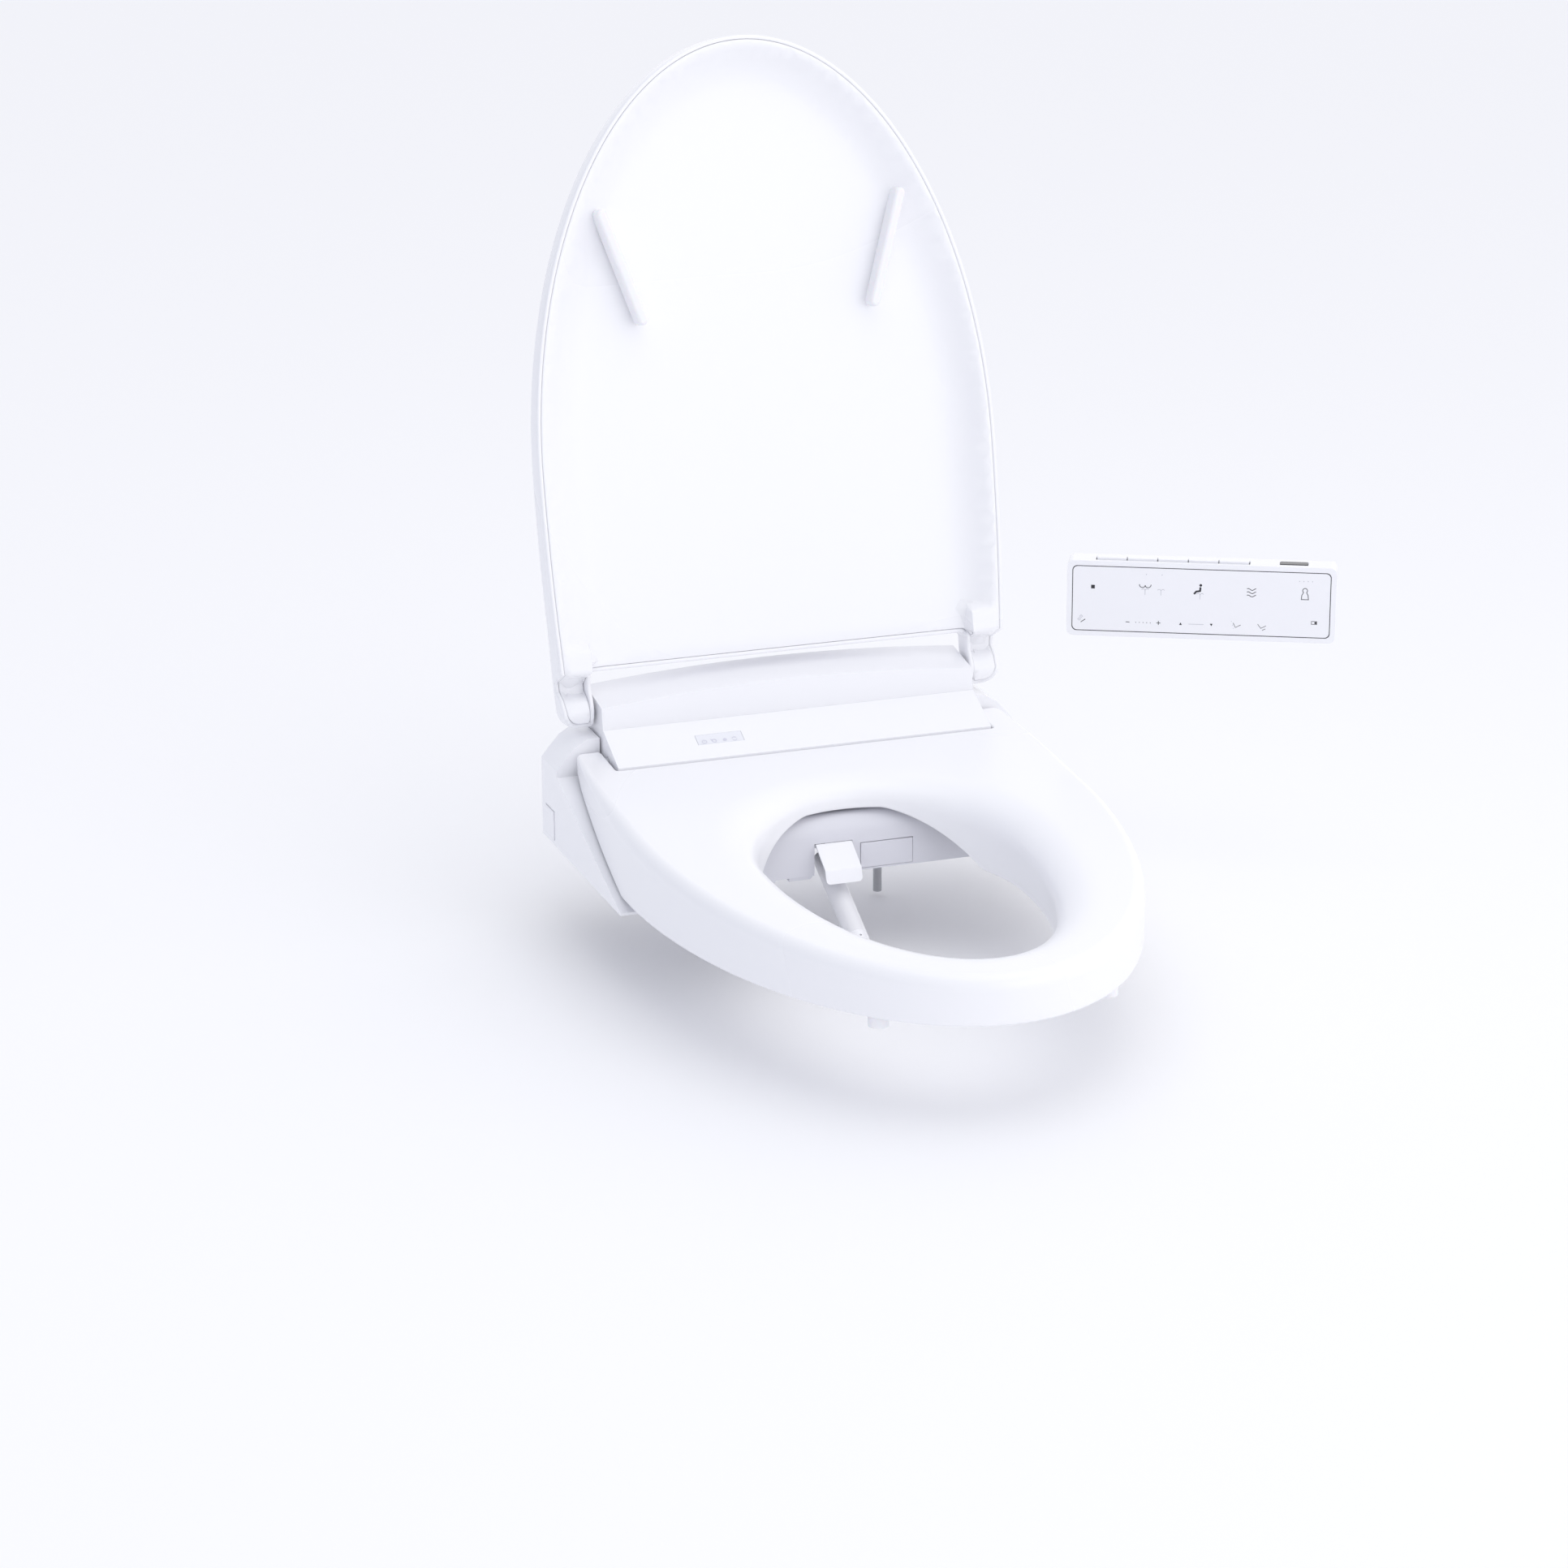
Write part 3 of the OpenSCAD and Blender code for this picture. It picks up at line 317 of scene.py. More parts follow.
def buildSeat():
    s = seatRing
    path = []
    for i in range(97):
        t = math.pi + math.pi * i / 96
        path.append((s["half"] * math.cos(t), s["mid"] + s["nose"] * math.sin(t), 0))
    ys = [s["mid"] + (s["armEnd"] - 12 - s["mid"]) * i / 20 for i in range(1, 21)]
    sideX = eggSide(s["half"], s["tail"], s["mid"], s["armEnd"])
    path += [(eggSide(s["half"], s["tail"], s["mid"], y), y, 0) for y in ys]
    path += [(sideX, s["armEnd"], 6), (s["notchHalf"], s["armEnd"], 4), (s["notchHalf"], s["notch"], 3),
             (-s["notchHalf"], s["notch"], 3), (-s["notchHalf"], s["armEnd"], 4), (-sideX, s["armEnd"], 6)]
    path += [(-eggSide(s["half"], s["tail"], s["mid"], y), y, 0) for y in reversed(ys)]
    path = roundCorners(path, 6)
    path = spreadPoints(path, 12, 8)  # the hub rounds the arms' ends along their sides
    inn = inward(path)
    count = len(path)

    def rollAt(p):
        # broad rounding on the outside, small at the arms and along the ledge
        if abs(p[0]) < s["notchHalf"] + 4 and p[1] > s["notch"] - 3:
            return s["armRoll"] * 0.6
        back = min(1, max(0, (p[1] + 120) / 120))
        return s["frontRoll"] * (1 - back) + s["armRoll"] * back

    verts = []

    def row(insetOf, zOf):
        for p, m in zip(path, inn):
            r = rollAt(p)
            d = insetOf(p, r)
            x, y = p[0] + m.x * d, p[1] + m.y * d
            z = zOf(y, r)
            if abs(p[0]) < s["notchHalf"] + 1 and p[1] > s["notch"] - 6:
                z = max(z, s["deckRoom"])
            verts.append((x, y, z))

    low, top = seatBottomAt, seatTopAt
    row(lambda p, r: s["wall"], lambda y, r: max(low(y) + 0.5, top(y) - s["wall"] - 0.6))
    row(lambda p, r: s["wall"], lambda y, r: low(y) + 1.0)
    row(lambda p, r: s["wall"] - 0.5, lambda y, r: low(y) + 0.2)
    row(lambda p, r: 2.0, lambda y, r: low(y))
    row(lambda p, r: 1.0, lambda y, r: low(y))
    row(lambda p, r: 0.5, lambda y, r: low(y) + 0.5)
    row(lambda p, r: 0.15, lambda y, r: low(y) + 1.4)
    for k in range(5):
        f = k / 4
        row(lambda p, r: 0.0, lambda y, r: (low(y) + 2.6) * (1 - f) + (top(y) - r * 1.15) * f
            if low(y) + 2.6 < top(y) - r * 1.15 else (low(y) + top(y)) / 2)
    for k in range(1, 9):
        a = math.pi / 2 * k / 8
        row(lambda p, r: r * (1 - math.cos(a)), lambda y, r: top(y) - r * 1.15 * (1 - math.sin(a)))
    rows = len(verts) // count
    faces = ringFaces(count, rows)
    outerTop = list(range((rows - 1) * count, rows * count))
    innerCeil = list(range(count))

    # opening: from the flat top over a broad soft roll, down the inner wall and back up inside
    holeCount = 144
    start = len(verts)
    base = [holePoint(i, 0, holeCount) for i in range(holeCount)]

    def rearward(y):
        # 1 behind the opening, where the roll is tighter
        return min(1, max(0, (y - s["rollShallowStart"]) / s["rollShallowSpan"]))

    def footAt(y):
        # the lip's lower edge climbs to clear the deck of the main unit
        share = min(1, max(0, (y - s["lipFootStart"]) / s["lipFootSpan"]))
        return s["lipFoot"] + (s["lipFootRear"] - s["lipFoot"]) * share

    rows = 0
    rollSteps = 14
    for k in range(rollSteps + 1):
        a = math.pi / 2 * k / rollSteps
        for i in range(holeCount):
            back = rearward(base[i][1])
            wide = s["rollWide"] + (s["rollWideRear"] - s["rollWide"]) * back
            deep = s["rollDeep"] + (s["rollDeepRear"] - s["rollDeep"]) * back
            x, y = holePoint(i, wide * (1 - math.sin(a)), holeCount)
            verts.append((x, y, seatTopAt(y) - deep * (1 - math.cos(a)) ** 1.15))
        rows += 1
    wallRows = [(0.0, 0.5, 0.0), (0.0, 1.0, 1.8), (0.3, 1.0, 0.7), (1.0, 1.0, 0.1), (1.8, 1.0, 0.0),
                (2.6, 1.0, 0.4), (3.0, 1.0, 1.6), (3.0, 0.3, 0.0)]
    for grow, share, lift in wallRows:
        for i in range(holeCount):
            x, y = holePoint(i, grow, holeCount)
            back = rearward(base[i][1])
            deep = s["rollDeep"] + (s["rollDeepRear"] - s["rollDeep"]) * back
            high = seatTopAt(y) - deep
            verts.append((x, y, high + (footAt(base[i][1]) - high) * share + lift))
        rows += 1
    # up inside, following the roll at the wall thickness
    for k in range(5):
        a = math.pi / 2 * (1 - k / 4)
        for i in range(holeCount):
            back = rearward(base[i][1])
            wide = s["rollWide"] + (s["rollWideRear"] - s["rollWide"]) * back
            deep = s["rollDeep"] + (s["rollDeepRear"] - s["rollDeep"]) * back
            x, y = holePoint(i, s["wall"] + wide * (1 - math.sin(a)), holeCount)
            verts.append((x, y, seatTopAt(y) - s["wall"] - 0.6 - deep * (1 - math.cos(a)) ** 1.15))
        rows += 1
    faces += ringFaces(holeCount, rows, start)
    lipTop = list(range(start, start + holeCount))
    lipCeil = list(range(len(verts) - holeCount, len(verts)))
    faces += fillBetween(verts, [outerTop, lipTop])
    faces += fillBetween(verts, [innerCeil, lipCeil])
    obj = makePiece("seatShell", verts, faces, seatWhite, "seat", "white_shell", ("seat_top",))
    flatNormals(obj)
    return obj


buildSeat()
print("seat ring built")


lidForm = {"half": 189.5, "nose": 329.0, "tail": 700.0, "mid": -184.0, "slotY": -30.5, "slotHalf": 157.5,
           "bossEnd": 12.4, "hubR": 13.0, "rimZ": -22.8, "floorZ": -7.6, "floorRise": 3.0, "crownZ": 16.0,
           "crownFall": 0.0262, "crownR": 2200.0, "edge": 3.2, "roll": 8.0, "bossRoll": 3.0,
           "tilt": 3.72, "travel": 106.0, "hingeY": 36.0, "hingeZ": 104.0,
           "blockY": (-56.0, -46.0), "blockX": (156.6, 159.0), "stepY": (-31.0, -23.5),
           "blockGridX": (130, 136, 142, 147, 151, 154, 156.3, 157.4, 158.3, 159.2, 162, 166, 171, 176),
           "ledgeFrom": -67.0, "ledgeZ": -26.5, "ledgeSlope": 0.52}
lidPlace = Matrix.Translation((0, lidForm["hingeY"], lidForm["hingeZ"])) @ \
    Matrix.Rotation(math.radians(lidForm["tilt"] - lidForm["travel"]), 4, "X")


def easeBetween(v, lo, hi):
    t = min(1, max(0, (v - lo) / (hi - lo)))
    return t * t * (3 - 2 * t)


def lidPath():
    f = lidForm
    path = []
    for i in range(97):
        t = math.pi + math.pi * i / 96
        path.append((f["half"] * math.cos(t), f["mid"] + f["nose"] * math.sin(t), 0))
    ys = [f["mid"] + (f["bossEnd"] - 22 - f["mid"]) * i / 24 for i in range(1, 25)]
    sideX = eggSide(f["half"], f["tail"], f["mid"], f["bossEnd"])
    path += [(eggSide(f["half"], f["tail"], f["mid"], y), y, 0) for y in ys]
    path += [(sideX, f["bossEnd"], 14.5), (f["slotHalf"], f["bossEnd"], 2.5), (f["slotHalf"], f["slotY"], 4),
             (-f["slotHalf"], f["slotY"], 4), (-f["slotHalf"], f["bossEnd"], 2.5), (-sideX, f["bossEnd"], 14.5)]
    path += [(-eggSide(f["half"], f["tail"], f["mid"], y), y, 0) for y in reversed(ys)]
    return spreadPoints(roundCorners(path, 8), 8, 5)


def hubHalf(y):
    return math.sqrt(max(0, lidForm["hubR"] ** 2 - y * y))


def lidTop(x, y):
    f = lidForm
    z = f["crownZ"] + y * f["crownFall"] - x * x / (2 * f["crownR"])
    return min(z, hubHalf(y)) if y > 0 else z


def sideDistance(x, y):
    # distance inside the side and front edge, good enough near the edge
    f = lidForm
    if y > f["mid"]:
        return eggSide(f["half"], f["tail"], f["mid"], y) - abs(x)
    u, v = x / f["half"], (y - f["mid"]) / f["nose"]
    r = math.hypot(u, v)
    if r < 1e-6:
        return f["half"]
    slope = math.hypot(u / f["half"], v / f["nose"]) / r
    return (1 - r) / slope if slope > 0 else f["half"]


dishCurve = [(0, 0), (4.0, 0.0), (5.2, 0.5), (7.0, 1.9), (9.5, 4.1), (12.5, 6.5), (16, 8.9), (20, 11.1), (24, 12.7),
             (28.5, 13.9), (34, 14.7), (42, 15.2), (400, 15.2)]


def lidUnder(x, y):
    # rim band, the soft fall into the dish, and beside the slot the blocks that hold the hinge
    f = lidForm
    d = sideDistance(x, y)
    lane = max(0, d - 3)
    rise = 0
    for (d0, h0), (d1, h1) in zip(dishCurve, dishCurve[1:]):
        if d0 <= lane <= d1:
            rise = h0 + (h1 - h0) * (lane - d0) / (d1 - d0)
    z = f["rimZ"] + rise
    middle = math.hypot(x / f["half"], (y + 230) / 250)
    z += f["floorRise"] * max(0, 1 - middle * middle) * min(1, rise / 15)
    block = easeBetween(y, *f["blockY"]) * easeBetween(abs(x), *f["blockX"])
    z = z * (1 - block) + f["rimZ"] * block
    # room over the ledge of the closed seat between the blocks
    if y > f["ledgeFrom"] and abs(x) < f["blockX"][0]:
        z = max(z, f["ledgeZ"] + (y - f["ledgeFrom"]) * f["ledgeSlope"])
    step = easeBetween(y, *f["stepY"]) * easeBetween(abs(x), *f["blockX"])
    z = z * (1 - step) + max(z, -hubHalf(min(0, y))) * step
    return max(z, -hubHalf(y)) if y > 0 else z


def sheetFill(loop, holes, zOf, step, extra=()):
    # triangles over the inside of an outline, with inner points so that the surface can curve
    flat = [Vector(p) for p in loop]
    edges = [(i, (i + 1) % len(loop)) for i in range(len(loop))]
    for hole in holes:
        base = len(flat)
        flat += [Vector(p) for p in hole]
        edges += [(base + i, base + (i + 1) % len(hole)) for i in range(len(hole))]
    flat += [Vector(p) for p in extra]
    xs, ys = [p[0] for p in loop], [p[1] for p in loop]
    y = min(ys) + step * 0.7
    odd = 0
    while y < max(ys):
        x = min(xs) + step * (0.5 + odd * 0.5)
        while x < max(xs):
            flat.append(Vector((x, y)))
            x += step
        y += step * 0.866
        odd = 1 - odd
    verts, _, faces, _, _, _ = delaunay_2d_cdt(flat, edges, [], 1, 1e-4)
    # points outside the outline carry no face, and drop out
    used = sorted({i for f in faces for i in f})
    index = {old: new for new, old in enumerate(used)}
    return [(verts[i].x, verts[i].y, zOf(verts[i].x, verts[i].y)) for i in used], \
        [tuple(index[i] for i in f) for f in faces]


def joinParts(parts):
    verts, faces = [], []
    for v, f in parts:
        base = len(verts)
        verts += v
        faces += [tuple(i + base for i in face) for face in f]
    return verts, faces


def lidRows(path, inn, rows):
    # each row is an inset for a vertex and a height between the underside and the top
    verts = []
    loops = []
    for insetOf, zOf in rows:
        loop = []
        for p, m in zip(path, inn):
            d = insetOf(p)
            x, y = p[0] + m.x * d, p[1] + m.y * d
            loop.append((x, y))
            verts.append((x, y, zOf(x, y, p)))
        loops.append(loop)
    return verts, loops


def lidRoll(p):
    # broad rounding on the free edge, small at the bosses and the slot
    f = lidForm
    if p[1] > f["slotY"] - 3 and abs(p[0]) < f["slotHalf"] + 4:
        return 1.6
    return f["roll"] + (f["bossRoll"] - f["roll"]) * easeBetween(p[1], -70, -8)


def buildLid():
    f = lidForm
    path = lidPath()
    inn = inward(path)
    rows = [(lambda p: f["edge"], lambda x, y, p: lidUnder(*p) + 3.5),
            (lambda p: f["edge"], lambda x, y, p: lidUnder(*p) + 0.7),
            (lambda p: f["edge"] - 0.3, lambda x, y, p: lidUnder(*p) + 0.15),
            (lambda p: f["edge"] - 1.0, lambda x, y, p: lidUnder(*p) - 0.05),
            (lambda p: 1.1, lambda x, y, p: lidUnder(*p)),
            (lambda p: 0.4, lambda x, y, p: lidUnder(*p) + 0.35),
            (lambda p: 0.05, lambda x, y, p: lidUnder(*p) + 1.2)]

    def edgeTop(p):
        return max(lidTop(*p) - lidRoll(p) * 1.1, (lidTop(*p) + lidUnder(*p)) / 2)

    for k in range(1, 4):
        rows.append((lambda p: 0.0, lambda x, y, p, k=k: (lidUnder(*p) + 1.2) + (edgeTop(p) - lidUnder(*p) - 1.2)
                     * k / 3))
    for k in range(1, 10):
        a = math.pi / 2 * k / 9
        rows.append((lambda p, a=a: lidRoll(p) * (1 - math.cos(a)),
                     lambda x, y, p, a=a: edgeTop(p) + (lidTop(x, y) - edgeTop(p)) * math.sin(a)))
    verts, loops = lidRows(path, inn, rows)
    sides = ringFaces(len(path), len(rows))
    top = sheetFill(loops[-1], [], lidTop, 13)
    cap = sheetFill(loops[0], [], lambda x, y: lidUnder(x, y) + 3.5, 13)
    for k, (x, y) in enumerate(loops[0]):
        verts[k] = (x, y, lidUnder(x, y) + 3.5)
    makePiece("lidShell", *joinParts([(verts, sides), top, cap]), seatWhite, "lid", "white_shell",
              ("lid_outer",), lidPlace, 50)
    print("lid shell built")

    # liner: same outline just inside the shell's edge
    gap = f["edge"] + 0.25
    rows = [(lambda p: gap, lambda x, y, p: lidUnder(x, y) + 3.0),
            (lambda p: gap, lambda x, y, p: lidUnder(x, y) + 0.7),
            (lambda p: gap + 0.25, lambda x, y, p: lidUnder(x, y) + 0.2),
            (lambda p: gap + 0.9, lambda x, y, p: lidUnder(x, y))]
    verts, loops = lidRows(path, inn, rows)
    sides = ringFaces(len(path), len(rows))
    extra = []
    for d in (5.5, 7.2, 9, 11.5, 14.5, 18, 22, 26.5, 31.5, 37, 43):
        for i in range(0, len(path), 2):
            p, m = path[i], inn[i]
            if p[1] < -60:
                extra.append((p[0] + m.x * d, p[1] + m.y * d))
    bossGrid = [(side * x, y) for side in (-1, 1) for x in f["blockGridX"] for y in range(-64, 12, 2)]
    under = sheetFill(loops[-1], [], lidUnder, 11, extra + bossGrid)
    cap = sheetFill(loops[0], [], lambda x, y: lidUnder(x, y) + 3.0, 13)
    makePiece("lidLiner", *joinParts([(verts, sides), under, cap]), seatWhite, "lid", "white_shell",
              ("lid_liner",), lidPlace, 50)


buildLid()
print("lid built")

# inked marks: strokes and filled shapes as thin raised films on a plane
def arcPoints(cx, cy, r, start, stop, steps=12):
    return [(cx + r * math.cos(math.radians(start + (stop - start) * k / steps)),
             cy + r * math.sin(math.radians(start + (stop - start) * k / steps))) for k in range(steps + 1)]


def dot(cx, cy, r):
    return arcPoints(cx, cy, r, 0, 330, 11), 0, True


def inkFilm(points, width, closed, film):
    # width 0 fills the outline, otherwise the points are a drawn line
    lo, hi = -film * 0.5, film
    n = len(points)
    if width == 0:
        verts = [(x, y, hi) for x, y in points] + [(x, y, lo) for x, y in points]
        faces = [tuple(range(n)), tuple(range(2 * n - 1, n - 1, -1))]
        return verts, faces + [(i, (i + 1) % n, n + (i + 1) % n, n + i) for i in range(n)]
    verts, faces = [], []
    for i, p in enumerate(points):
        p = Vector(p)
        a = Vector(points[i - 1]) if closed or i > 0 else None
        b = Vector(points[(i + 1) % n]) if closed or i < n - 1 else None
        d1 = (b - p).normalized() if b is not None else (p - a).normalized()
        d0 = (p - a).normalized() if a is not None else d1
        n0, n1 = Vector((-d0.y, d0.x)), Vector((-d1.y, d1.x))
        m = (n0 + n1).normalized()
        m *= width / 2 / max(0.5, m.dot(n0))
        verts += [(p.x + m.x, p.y + m.y, hi), (p.x - m.x, p.y - m.y, hi),
                  (p.x - m.x, p.y - m.y, lo), (p.x + m.x, p.y + m.y, lo)]
    for i in range(n if closed else n - 1):
        a, b = 4 * i, 4 * ((i + 1) % n)
        faces += [(a + k, a + (k + 1) % 4, b + (k + 1) % 4, b + k) for k in range(4)]
    if not closed:
        faces += [(3, 2, 1, 0), tuple(4 * (n - 1) + k for k in range(4))]
    return verts, faces


def inkMarks(name, marks, finish, body, slotName, place, film=0.06):
    parts = [inkFilm(points, width, closed, film) for points, width, closed in marks]
    makePiece(name, *joinParts(parts), finish, body, slotName, (), place, 30)


remotePrint = {"at": (330.0, -40.0, 167.0), "yaw": -27.0, "face": -10.7, "half": (102.3, 26.8), "corner": 4.2,
               "borderWidth": 0.9, "line": 0.55, "thin": 0.4, "dotR": 0.42}
r = remotePrint
remotePlane = Matrix.Translation(r["at"]) @ Matrix.Rotation(math.radians(r["yaw"]), 4, "Z") @ \
    Matrix(((1, 0, 0, 0), (0, 0, -1, r["face"]), (0, 1, 0, 0), (0, 0, 0, 1)))
w, h = r["half"]
border = roundCorners([(-w, -h, r["corner"]), (w, -h, r["corner"]), (w, h, r["corner"]), (-w, h, r["corner"])], 8)
inkMarks("remoteBorder", [(border, r["borderWidth"], True)], printInk, "remote", "ir_dark", remotePlane)


def sprayMark(x, y):
    # a jet under an umbrella of drops
    return [([(x, y - 2.4), (x, y + 1.2)], r["thin"], False),
            (arcPoints(x - 1.5, y + 1.0, 1.5, 10, 150), r["thin"], False),
            (arcPoints(x + 1.5, y + 1.0, 1.5, 170, 30), r["thin"], False)]


def boxMark(x, y, halfX, halfY):
    return [(x - halfX, y - halfY), (x + halfX, y - halfY), (x + halfX, y + halfY), (x - halfX, y + halfY)]


bold, thin = r["line"], r["thin"]
darkMarks = [
    (boxMark(-85.9, 9.6, 1.5, 1.5), 0, True),  # stop
    (arcPoints(-46.6, 12.6, 2.4, 175, 350), bold, False), (arcPoints(-42.2, 12.6, 2.4, 190, 365), bold, False),
    dot(-0.4, 13.6, 1.1),  # seated figure
    ([(-0.6, 12.0), (-0.8, 8.9), (-3.9, 8.3), (-5.6, 6.2)], 1.5, False),
    (arcPoints(82, 12.0, 1.9, -50, 230), bold, False),  # user
    ([(80.8, 10.5), (79.5, 8.0), (79.2, 4.7), (84.8, 4.7), (84.5, 8.0), (83.2, 10.5)], bold, False),
    ([(-59.3, -18.7), (-56.3, -18.7)], bold, False),
    ([(-34.9, -18.7), (-31.7, -18.7)], bold, False), ([(-33.3, -20.3), (-33.3, -17.1)], bold, False),
    ([(-16.8, -19.7), (-14.6, -19.7), (-15.7, -17.7)], 0, True),
    ([(7.6, -17.9), (8.7, -19.9), (9.8, -17.9)], 0, True),
    ([(-95.2, -20.1), (-91.6, -17.5)], bold, False)]
darkMarks += [([(36.2 + k * 0.9, 8.9 + row * 2.7 + 0.75 * math.sin(k * 0.9 + 0.6)) for k in range(9)], bold, False)
              for row in (-1, 0, 1)]  # warm air
darkMarks += [([(26.0, -16.6), (27.9, -20.3), (32.0, -18.0)], thin, False),  # lid
              ([(45.4, -16.9), (48.0, -20.3), (52.0, -18.1)], thin, False),  # seat
              ([(49.0, -22.0), (51.6, -20.6)], thin, False),
              (boxMark(89.9, -14.3, 2.1, 1.2), thin, True), (boxMark(91.0, -14.3, 0.8, 0.8), 0, True)]
darkMarks += [dot(-51.3 + 2.9 * k, -18.8, 0.32) for k in range(5)]
inkMarks("remotePrints", darkMarks, printInk, "remote", "ir_dark", remotePlane)
paleMarks = sprayMark(-44.4, 6.6) + sprayMark(-31.8, 6.6) + sprayMark(-0.8, 4.4)
paleMarks += [dot(-43.7, 21.1, r["dotR"]), dot(-31.2, 21.0, r["dotR"])]
paleMarks += [dot(77.4 + 3.4 * k, 19.6, r["dotR"]) for k in range(4)]
paleMarks += [([(-9.4, -18.8), (2.6, -18.8)], thin, False)]
for x, y in ((-96.4, -17.6), (-94.9, -15.2)):  # sparkles
    paleMarks += [([(x - 1.1, y), (x, y + 1.1), (x + 1.1, y), (x, y - 1.1)], thin, True)]
for x, y in ((25.4, -18.6), (26.4, -21.0), (24.6, -15.4)):
    paleMarks.append(dot(x, y, 0.3))
inkMarks("remotePalePrints", paleMarks, paleInk, "remote", "ir_dark", remotePlane)
print("remote printed")

# four indicator marks on the ledge slope: power, energy saving, lamp and cleaning
ledgeMarks = {"run": 0.899, "rise": 0.438, "frontY": -29.0, "frontZ": 76.0, "up": 18.5, "proud": 0.12, "film": 0.05,
              "x": (-79.2, -71.1, -62.4, -54.5)}
g = ledgeMarks
ledgePlane = Matrix(((1, 0, 0, 0), (0, g["run"], -g["rise"], g["frontY"]), (0, g["rise"], g["run"], g["frontZ"]),
                     (0, 0, 0, 1))) @ Matrix.Translation((0, 0, g["proud"]))
x0, x1, x2, x3 = g["x"]
inkMarks("indicatorMarks",
         [(arcPoints(x0, g["up"], 1.9, 120, 420), 0.5, False),
          ([(x0, g["up"] + 0.4), (x0, g["up"] + 2.5)], 0.5, False),
          (arcPoints(x1, g["up"], 1.7, 0, 345), 0.6, True),
          ([(x1 - 2.5, g["up"] + 1.9), (x1 - 1.2, g["up"] + 0.8)], 0.6, False),
          (arcPoints(x2, g["up"], 1.6, 0, 330, 11), 0, True),
          (arcPoints(x3, g["up"], 1.9, 30, 170), 0.55, False), (arcPoints(x3, g["up"], 1.9, 210, 350), 0.55, False)],
         faintInk, "main_unit", "lens", ledgePlane, g["film"])

# wand shutter: a plate with a lip bent down, hung on its barrel over the wand
shutter = {"x": -9.0, "half": 14.7, "hinge": (-113.6, 24.4), "barrel": 1.5, "thick": 1.5, "bend": (-135.0, 11.4),
           "tip": (-138.0, 1.2), "bendR": 3.5, "corner": 3.2}


def buildShutter():
    s = shutter
    hy, hz = s["hinge"]
    start = (hy - 0.6, hz + 0.2)
    a, b, c = Vector(start), Vector(s["bend"]), Vector(s["tip"])
    line = [tuple(a)]
    u, v = (a - b).normalized(), (c - b).normalized()
    half = u.angle(v) / 2
    reach = s["bendR"] / math.tan(half)
    centre = b + (u + v).normalized() * (s["bendR"] / math.sin(half))
    v0, v1 = b + u * reach - centre, b + v * reach - centre
    turn = v0.angle_signed(v1)
    for k in range(7):
        w = Vector(v0)
        w.rotate(Matrix.Rotation(-turn * k / 6, 2))
        line.append(tuple(centre + w))
    low = c - v * s["corner"]
    turns = [math.radians(t) for t in (15, 30, 45, 60, 75, 90)]  # the two rounded lower corners
    line += [tuple(low)] + [tuple(low + v * s["corner"] * math.sin(t)) for t in turns]
    narrow = [0] * (len(line) - len(turns)) + [s["corner"] * (1 - math.cos(t)) for t in turns]
    verts = []
    for i, p in enumerate(line):
        q0, q1 = Vector(line[max(0, i - 1)]), Vector(line[min(len(line) - 1, i + 1)])
        d = (q1 - q0).normalized()
        side = Vector((-d.y, d.x)) * s["thick"] / 2
        w = s["half"] - narrow[i]
        for x, k in ((-w, 1), (w, 1), (w, -1), (-w, -1)):
            verts.append((s["x"] + x, p[0] + side.x * k, p[1] + side.y * k))
    rows = len(line)
    faces = ringFaces(4, rows) + [(3, 2, 1, 0), tuple(4 * (rows - 1) + k for k in range(4))]
    ring = 20
    rod = []
    for x, r in ((-s["half"], s["barrel"] - 0.3), (-s["half"] + 0.3, s["barrel"]), (s["half"] - 0.3, s["barrel"]),
                 (s["half"], s["barrel"] - 0.3)):
        for k in range(ring):
            t = 2 * math.pi * k / ring
            rod.append((s["x"] + x, hy + r * math.cos(t), hz + r * math.sin(t)))
    rodFaces = ringFaces(ring, 4) + [tuple(range(ring))[::-1], tuple(range(3 * ring, 4 * ring))]
    obj = makePiece("wandShutter", *joinParts([(verts, faces), (rod, rodFaces)]), glossWhite, "wand_flap",
                    "white_shell", ("wand_flap",), None, 30)
    bev = obj.modifiers.new("roundedEdges", "BEVEL")
    bev.width = 0.3 * mm
    bev.segments = 3
    bev.limit_method = "ANGLE"
    bev.angle_limit = math.radians(50)
    flatNormals(obj)


buildShutter()
print("shutter built")

# two small snap tabs under the front wall, left of the wand
wallTabs = {"spans": ((-88.0, -55.5), (-45.0, -25.5)), "wallY": -113.0, "top": 0.6, "drops": (3.6, 3.0), "deep": 7.0,
            "slant": 2.2}


def buildTabs():
    t = wallTabs
    parts = []
    for (x0, x1), drop in zip(t["spans"], t["drops"]):
        y0, y1 = t["wallY"] + 0.4, t["wallY"] + t["deep"]
        low = t["top"] - drop
        verts = [(x0, y0, t["top"]), (x1, y0, t["top"]), (x1 - t["slant"], y0 + 0.5, low), (x0, y0 + 0.5, low),
                 (x0, y1, t["top"]), (x1, y1, t["top"]), (x1 - t["slant"], y1, low), (x0, y1, low)]
        parts.append((verts, [(0, 1, 2, 3), (5, 4, 7, 6), (4, 5, 1, 0), (3, 2, 6, 7), (1, 5, 6, 2), (4, 0, 3, 7)]))
    obj = makePiece("wallTabs", *joinParts(parts), satinWhite, "main_unit", "white_shell")
    softEdges(obj, 0.35)


buildTabs()

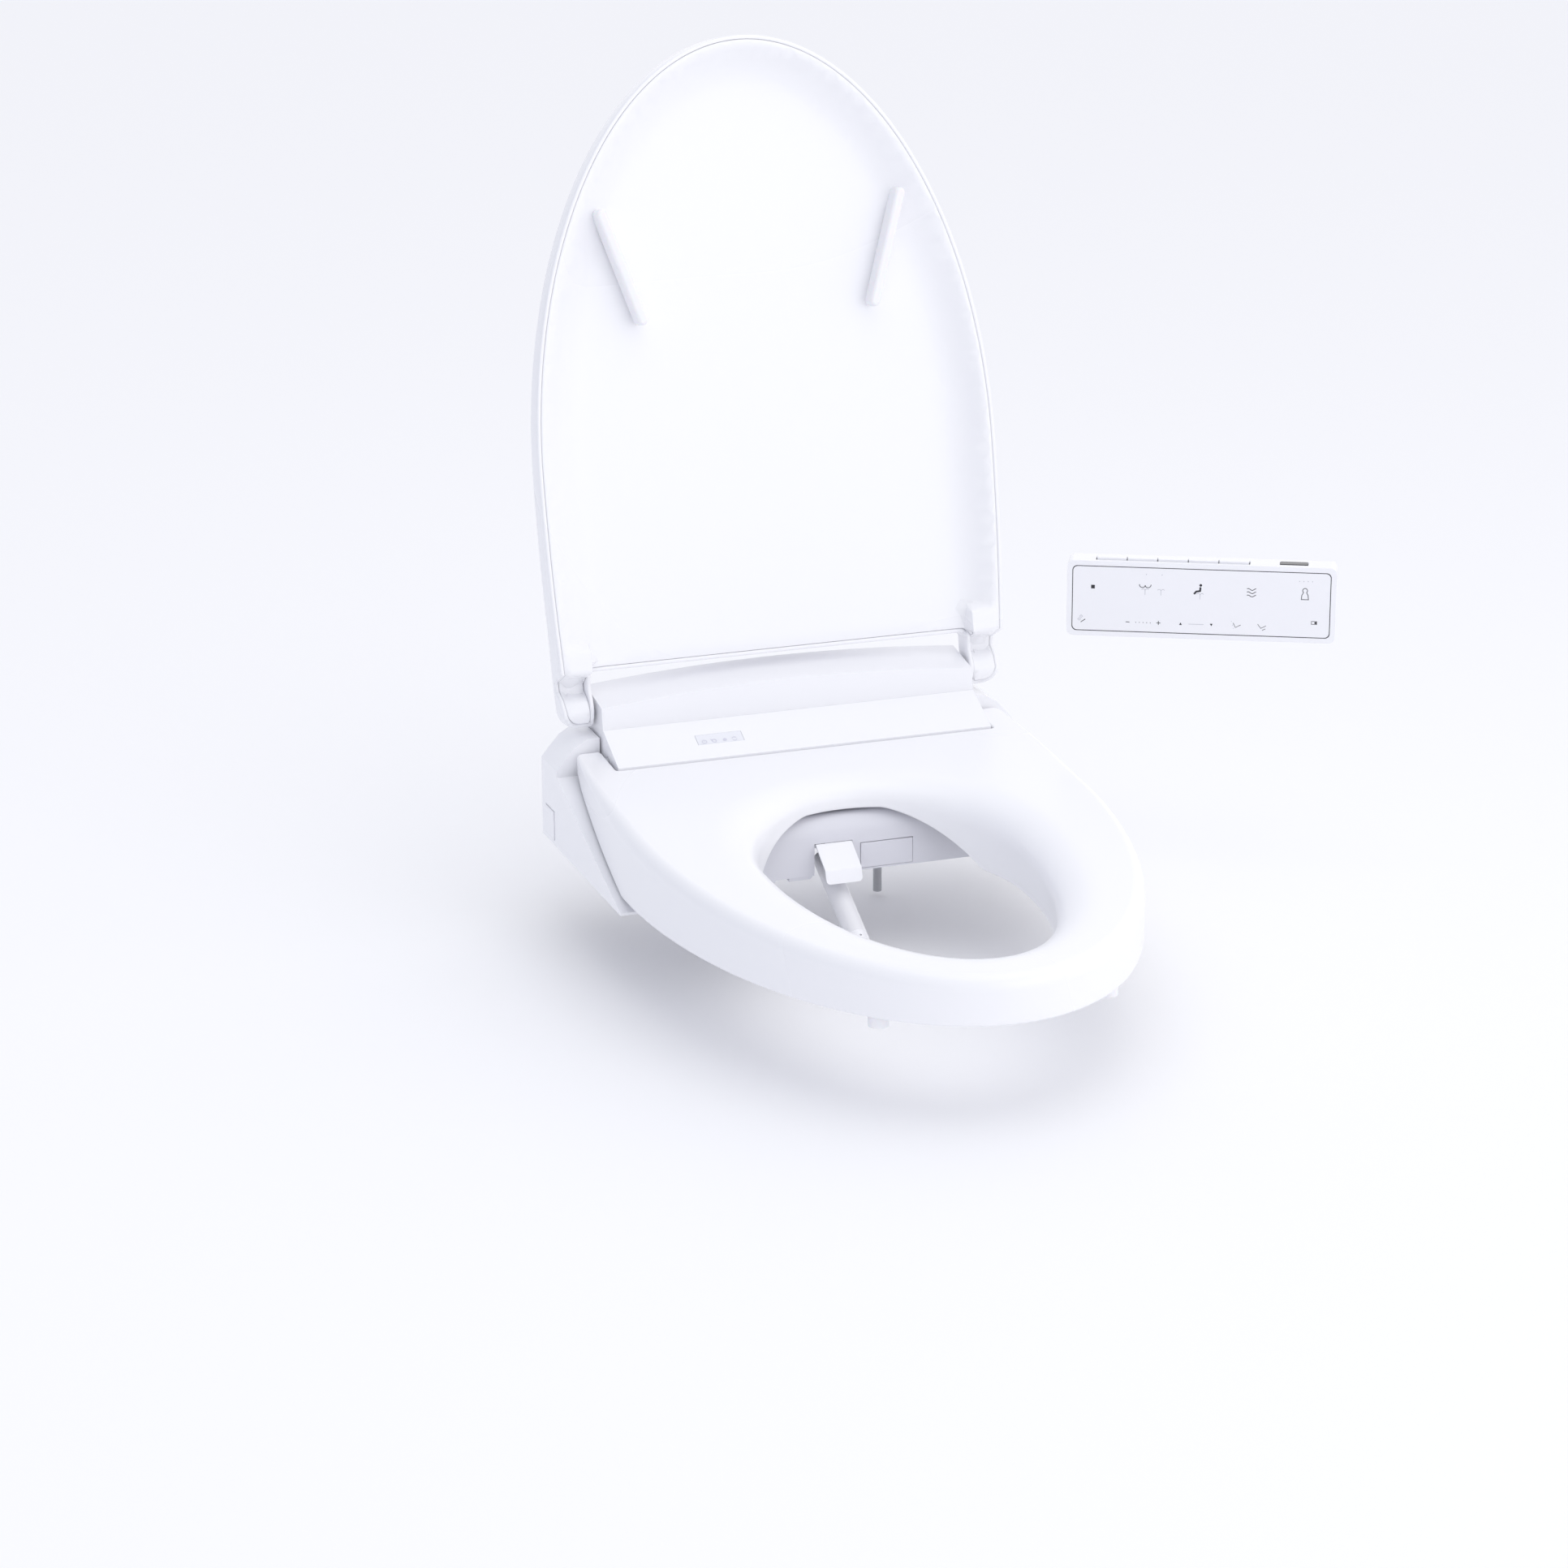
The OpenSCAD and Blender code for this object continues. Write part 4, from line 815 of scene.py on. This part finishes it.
# carried parts: edge radius in mm for each, and their finishes
edgeMm = {"hood_cover": 2.4, "ledge_cover": 1.0, "cheek_left": 1.4, "cheek_right": 1.4,
          "front_cover": 0.7, "remote_case": 1.6, "remote_face": 0.5, "release_button": 0.5, "dryer_door": 0.35,
          "lower_case": 0.6, "base_plate": 0.8, "lid_bumper_left": 2.6, "lid_bumper_right": 2.6,
          "remote_hanger": 0.8, "battery_door": 0.4, "seat_base": 0.5, "wand_tip": 0.4, "wand_tube": 0.4,
          "ir_window": 0.3, "indicator_lens": 0.2, "heat_exchanger": 1.2, "wand_motor": 0.8,
          "dryer_case": 0.8, "deodor_case": 0.8}
for name, obj in nodes.items():
    obj.data.materials.clear()
    obj.data.materials.append(finishOf[name])
    if obj.hide_render:
        continue
    softEdges(obj, edgeMm.get(name, 0.3))
print("carried parts finished")

# stage, lights and camera
stageSet = {"floorZ": -66.0, "floorHalf": 6.0, "floorColour": "#fbfbfd", "skyLight": "#fdfdff", "skyShade": "#bcc1cf",
            "skyStrength": 1.07}
floorMesh = bpy.data.meshes.new("floor")
half, floorZ = stageSet["floorHalf"], stageSet["floorZ"] * mm
corners = ((-1, -1), (1, -1), (1, 1), (-1, 1))
floorMesh.from_pydata([(x * half, y * half, floorZ) for x, y in corners], [], [(0, 1, 2, 3)])
floor = bpy.data.objects.new("floor", floorMesh)
bpy.context.scene.collection.objects.link(floor)
paperMatt = mouldedPlastic("paperMatt", stageSet["floorColour"], stageSet["floorColour"], 0.9, 0, 3, 0)
floorMesh.materials.append(paperMatt)

world = bpy.data.worlds.new("softSky")
bpy.context.scene.world = world
world.use_nodes = True
# a bright studio tent, dimmer towards the left so that side faces fall into a cool shade
skyTree = world.node_tree
aim = addNode(skyTree, "ShaderNodeTexCoord")
split = addNode(skyTree, "ShaderNodeSeparateXYZ", None, None, {"Vector": aim.outputs["Generated"]})
across = addNode(skyTree, "ShaderNodeMapRange", None, {"From Min": -0.95, "From Max": 0.15},
                 {"Value": split.outputs["X"]})
sky = addNode(skyTree, "ShaderNodeMix", {"data_type": "RGBA"},
              {6: linear(stageSet["skyShade"]), 7: linear(stageSet["skyLight"])}, {0: across.outputs[0]})
skyTree.links.new(sky.outputs[2], skyTree.nodes["Background"].inputs["Color"])
skyTree.nodes["Background"].inputs["Strength"].default_value = stageSet["skyStrength"]


def softBox(name, at, target, size, power, colour):
    lamp = bpy.data.lights.new(name, "AREA")
    lamp.shape = "RECTANGLE"
    lamp.size, lamp.size_y = size
    lamp.energy = power
    lamp.color = linear(colour)[:3]
    obj = bpy.data.objects.new(name, lamp)
    bpy.context.scene.collection.objects.link(obj)
    obj.location = at
    obj.rotation_euler = (Vector(target) - Vector(at)).to_track_quat("-Z", "Y").to_euler()


softBox("overhead", (0.1, -0.6, 2.2), (0, -0.15, 0.1), (1.8, 1.8), 5, "#ffffff")
softBox("frontFill", (0.9, -2.2, 0.9), (0, -0.1, 0.2), (1.4, 1.2), 3, "#f6f7ff")

# angles in degrees, place in mm, lens in mm for a 36 mm sensor
camSet = {"azimuth": -19.536, "elevation": 18.732, "roll": -0.171, "lens": 106.602093,
          "at": (-1170.984, -3274.4, 1215.495)}
cam = bpy.data.cameras.new("camera")
camObj = bpy.data.objects.new("camera", cam)
bpy.context.scene.collection.objects.link(camObj)
az, el = math.radians(camSet["azimuth"]), math.radians(camSet["elevation"])
back = Vector((math.sin(az) * math.cos(el), -math.cos(az) * math.cos(el), math.sin(el)))
right = Vector((math.cos(az), math.sin(az), 0))
up = back.cross(right)
spin = Matrix.Rotation(math.radians(camSet["roll"]), 3, back)
right, up = spin @ right, spin @ up
camObj.matrix_world = Matrix.Translation(Vector(camSet["at"]) * mm) @ Matrix((right, up, back)).transposed().to_4x4()
cam.sensor_width = 36
cam.lens = camSet["lens"]
cam.clip_end = 50
bpy.context.scene.camera = camObj
bpy.context.scene.view_settings.view_transform = "Standard"
print("stage set")
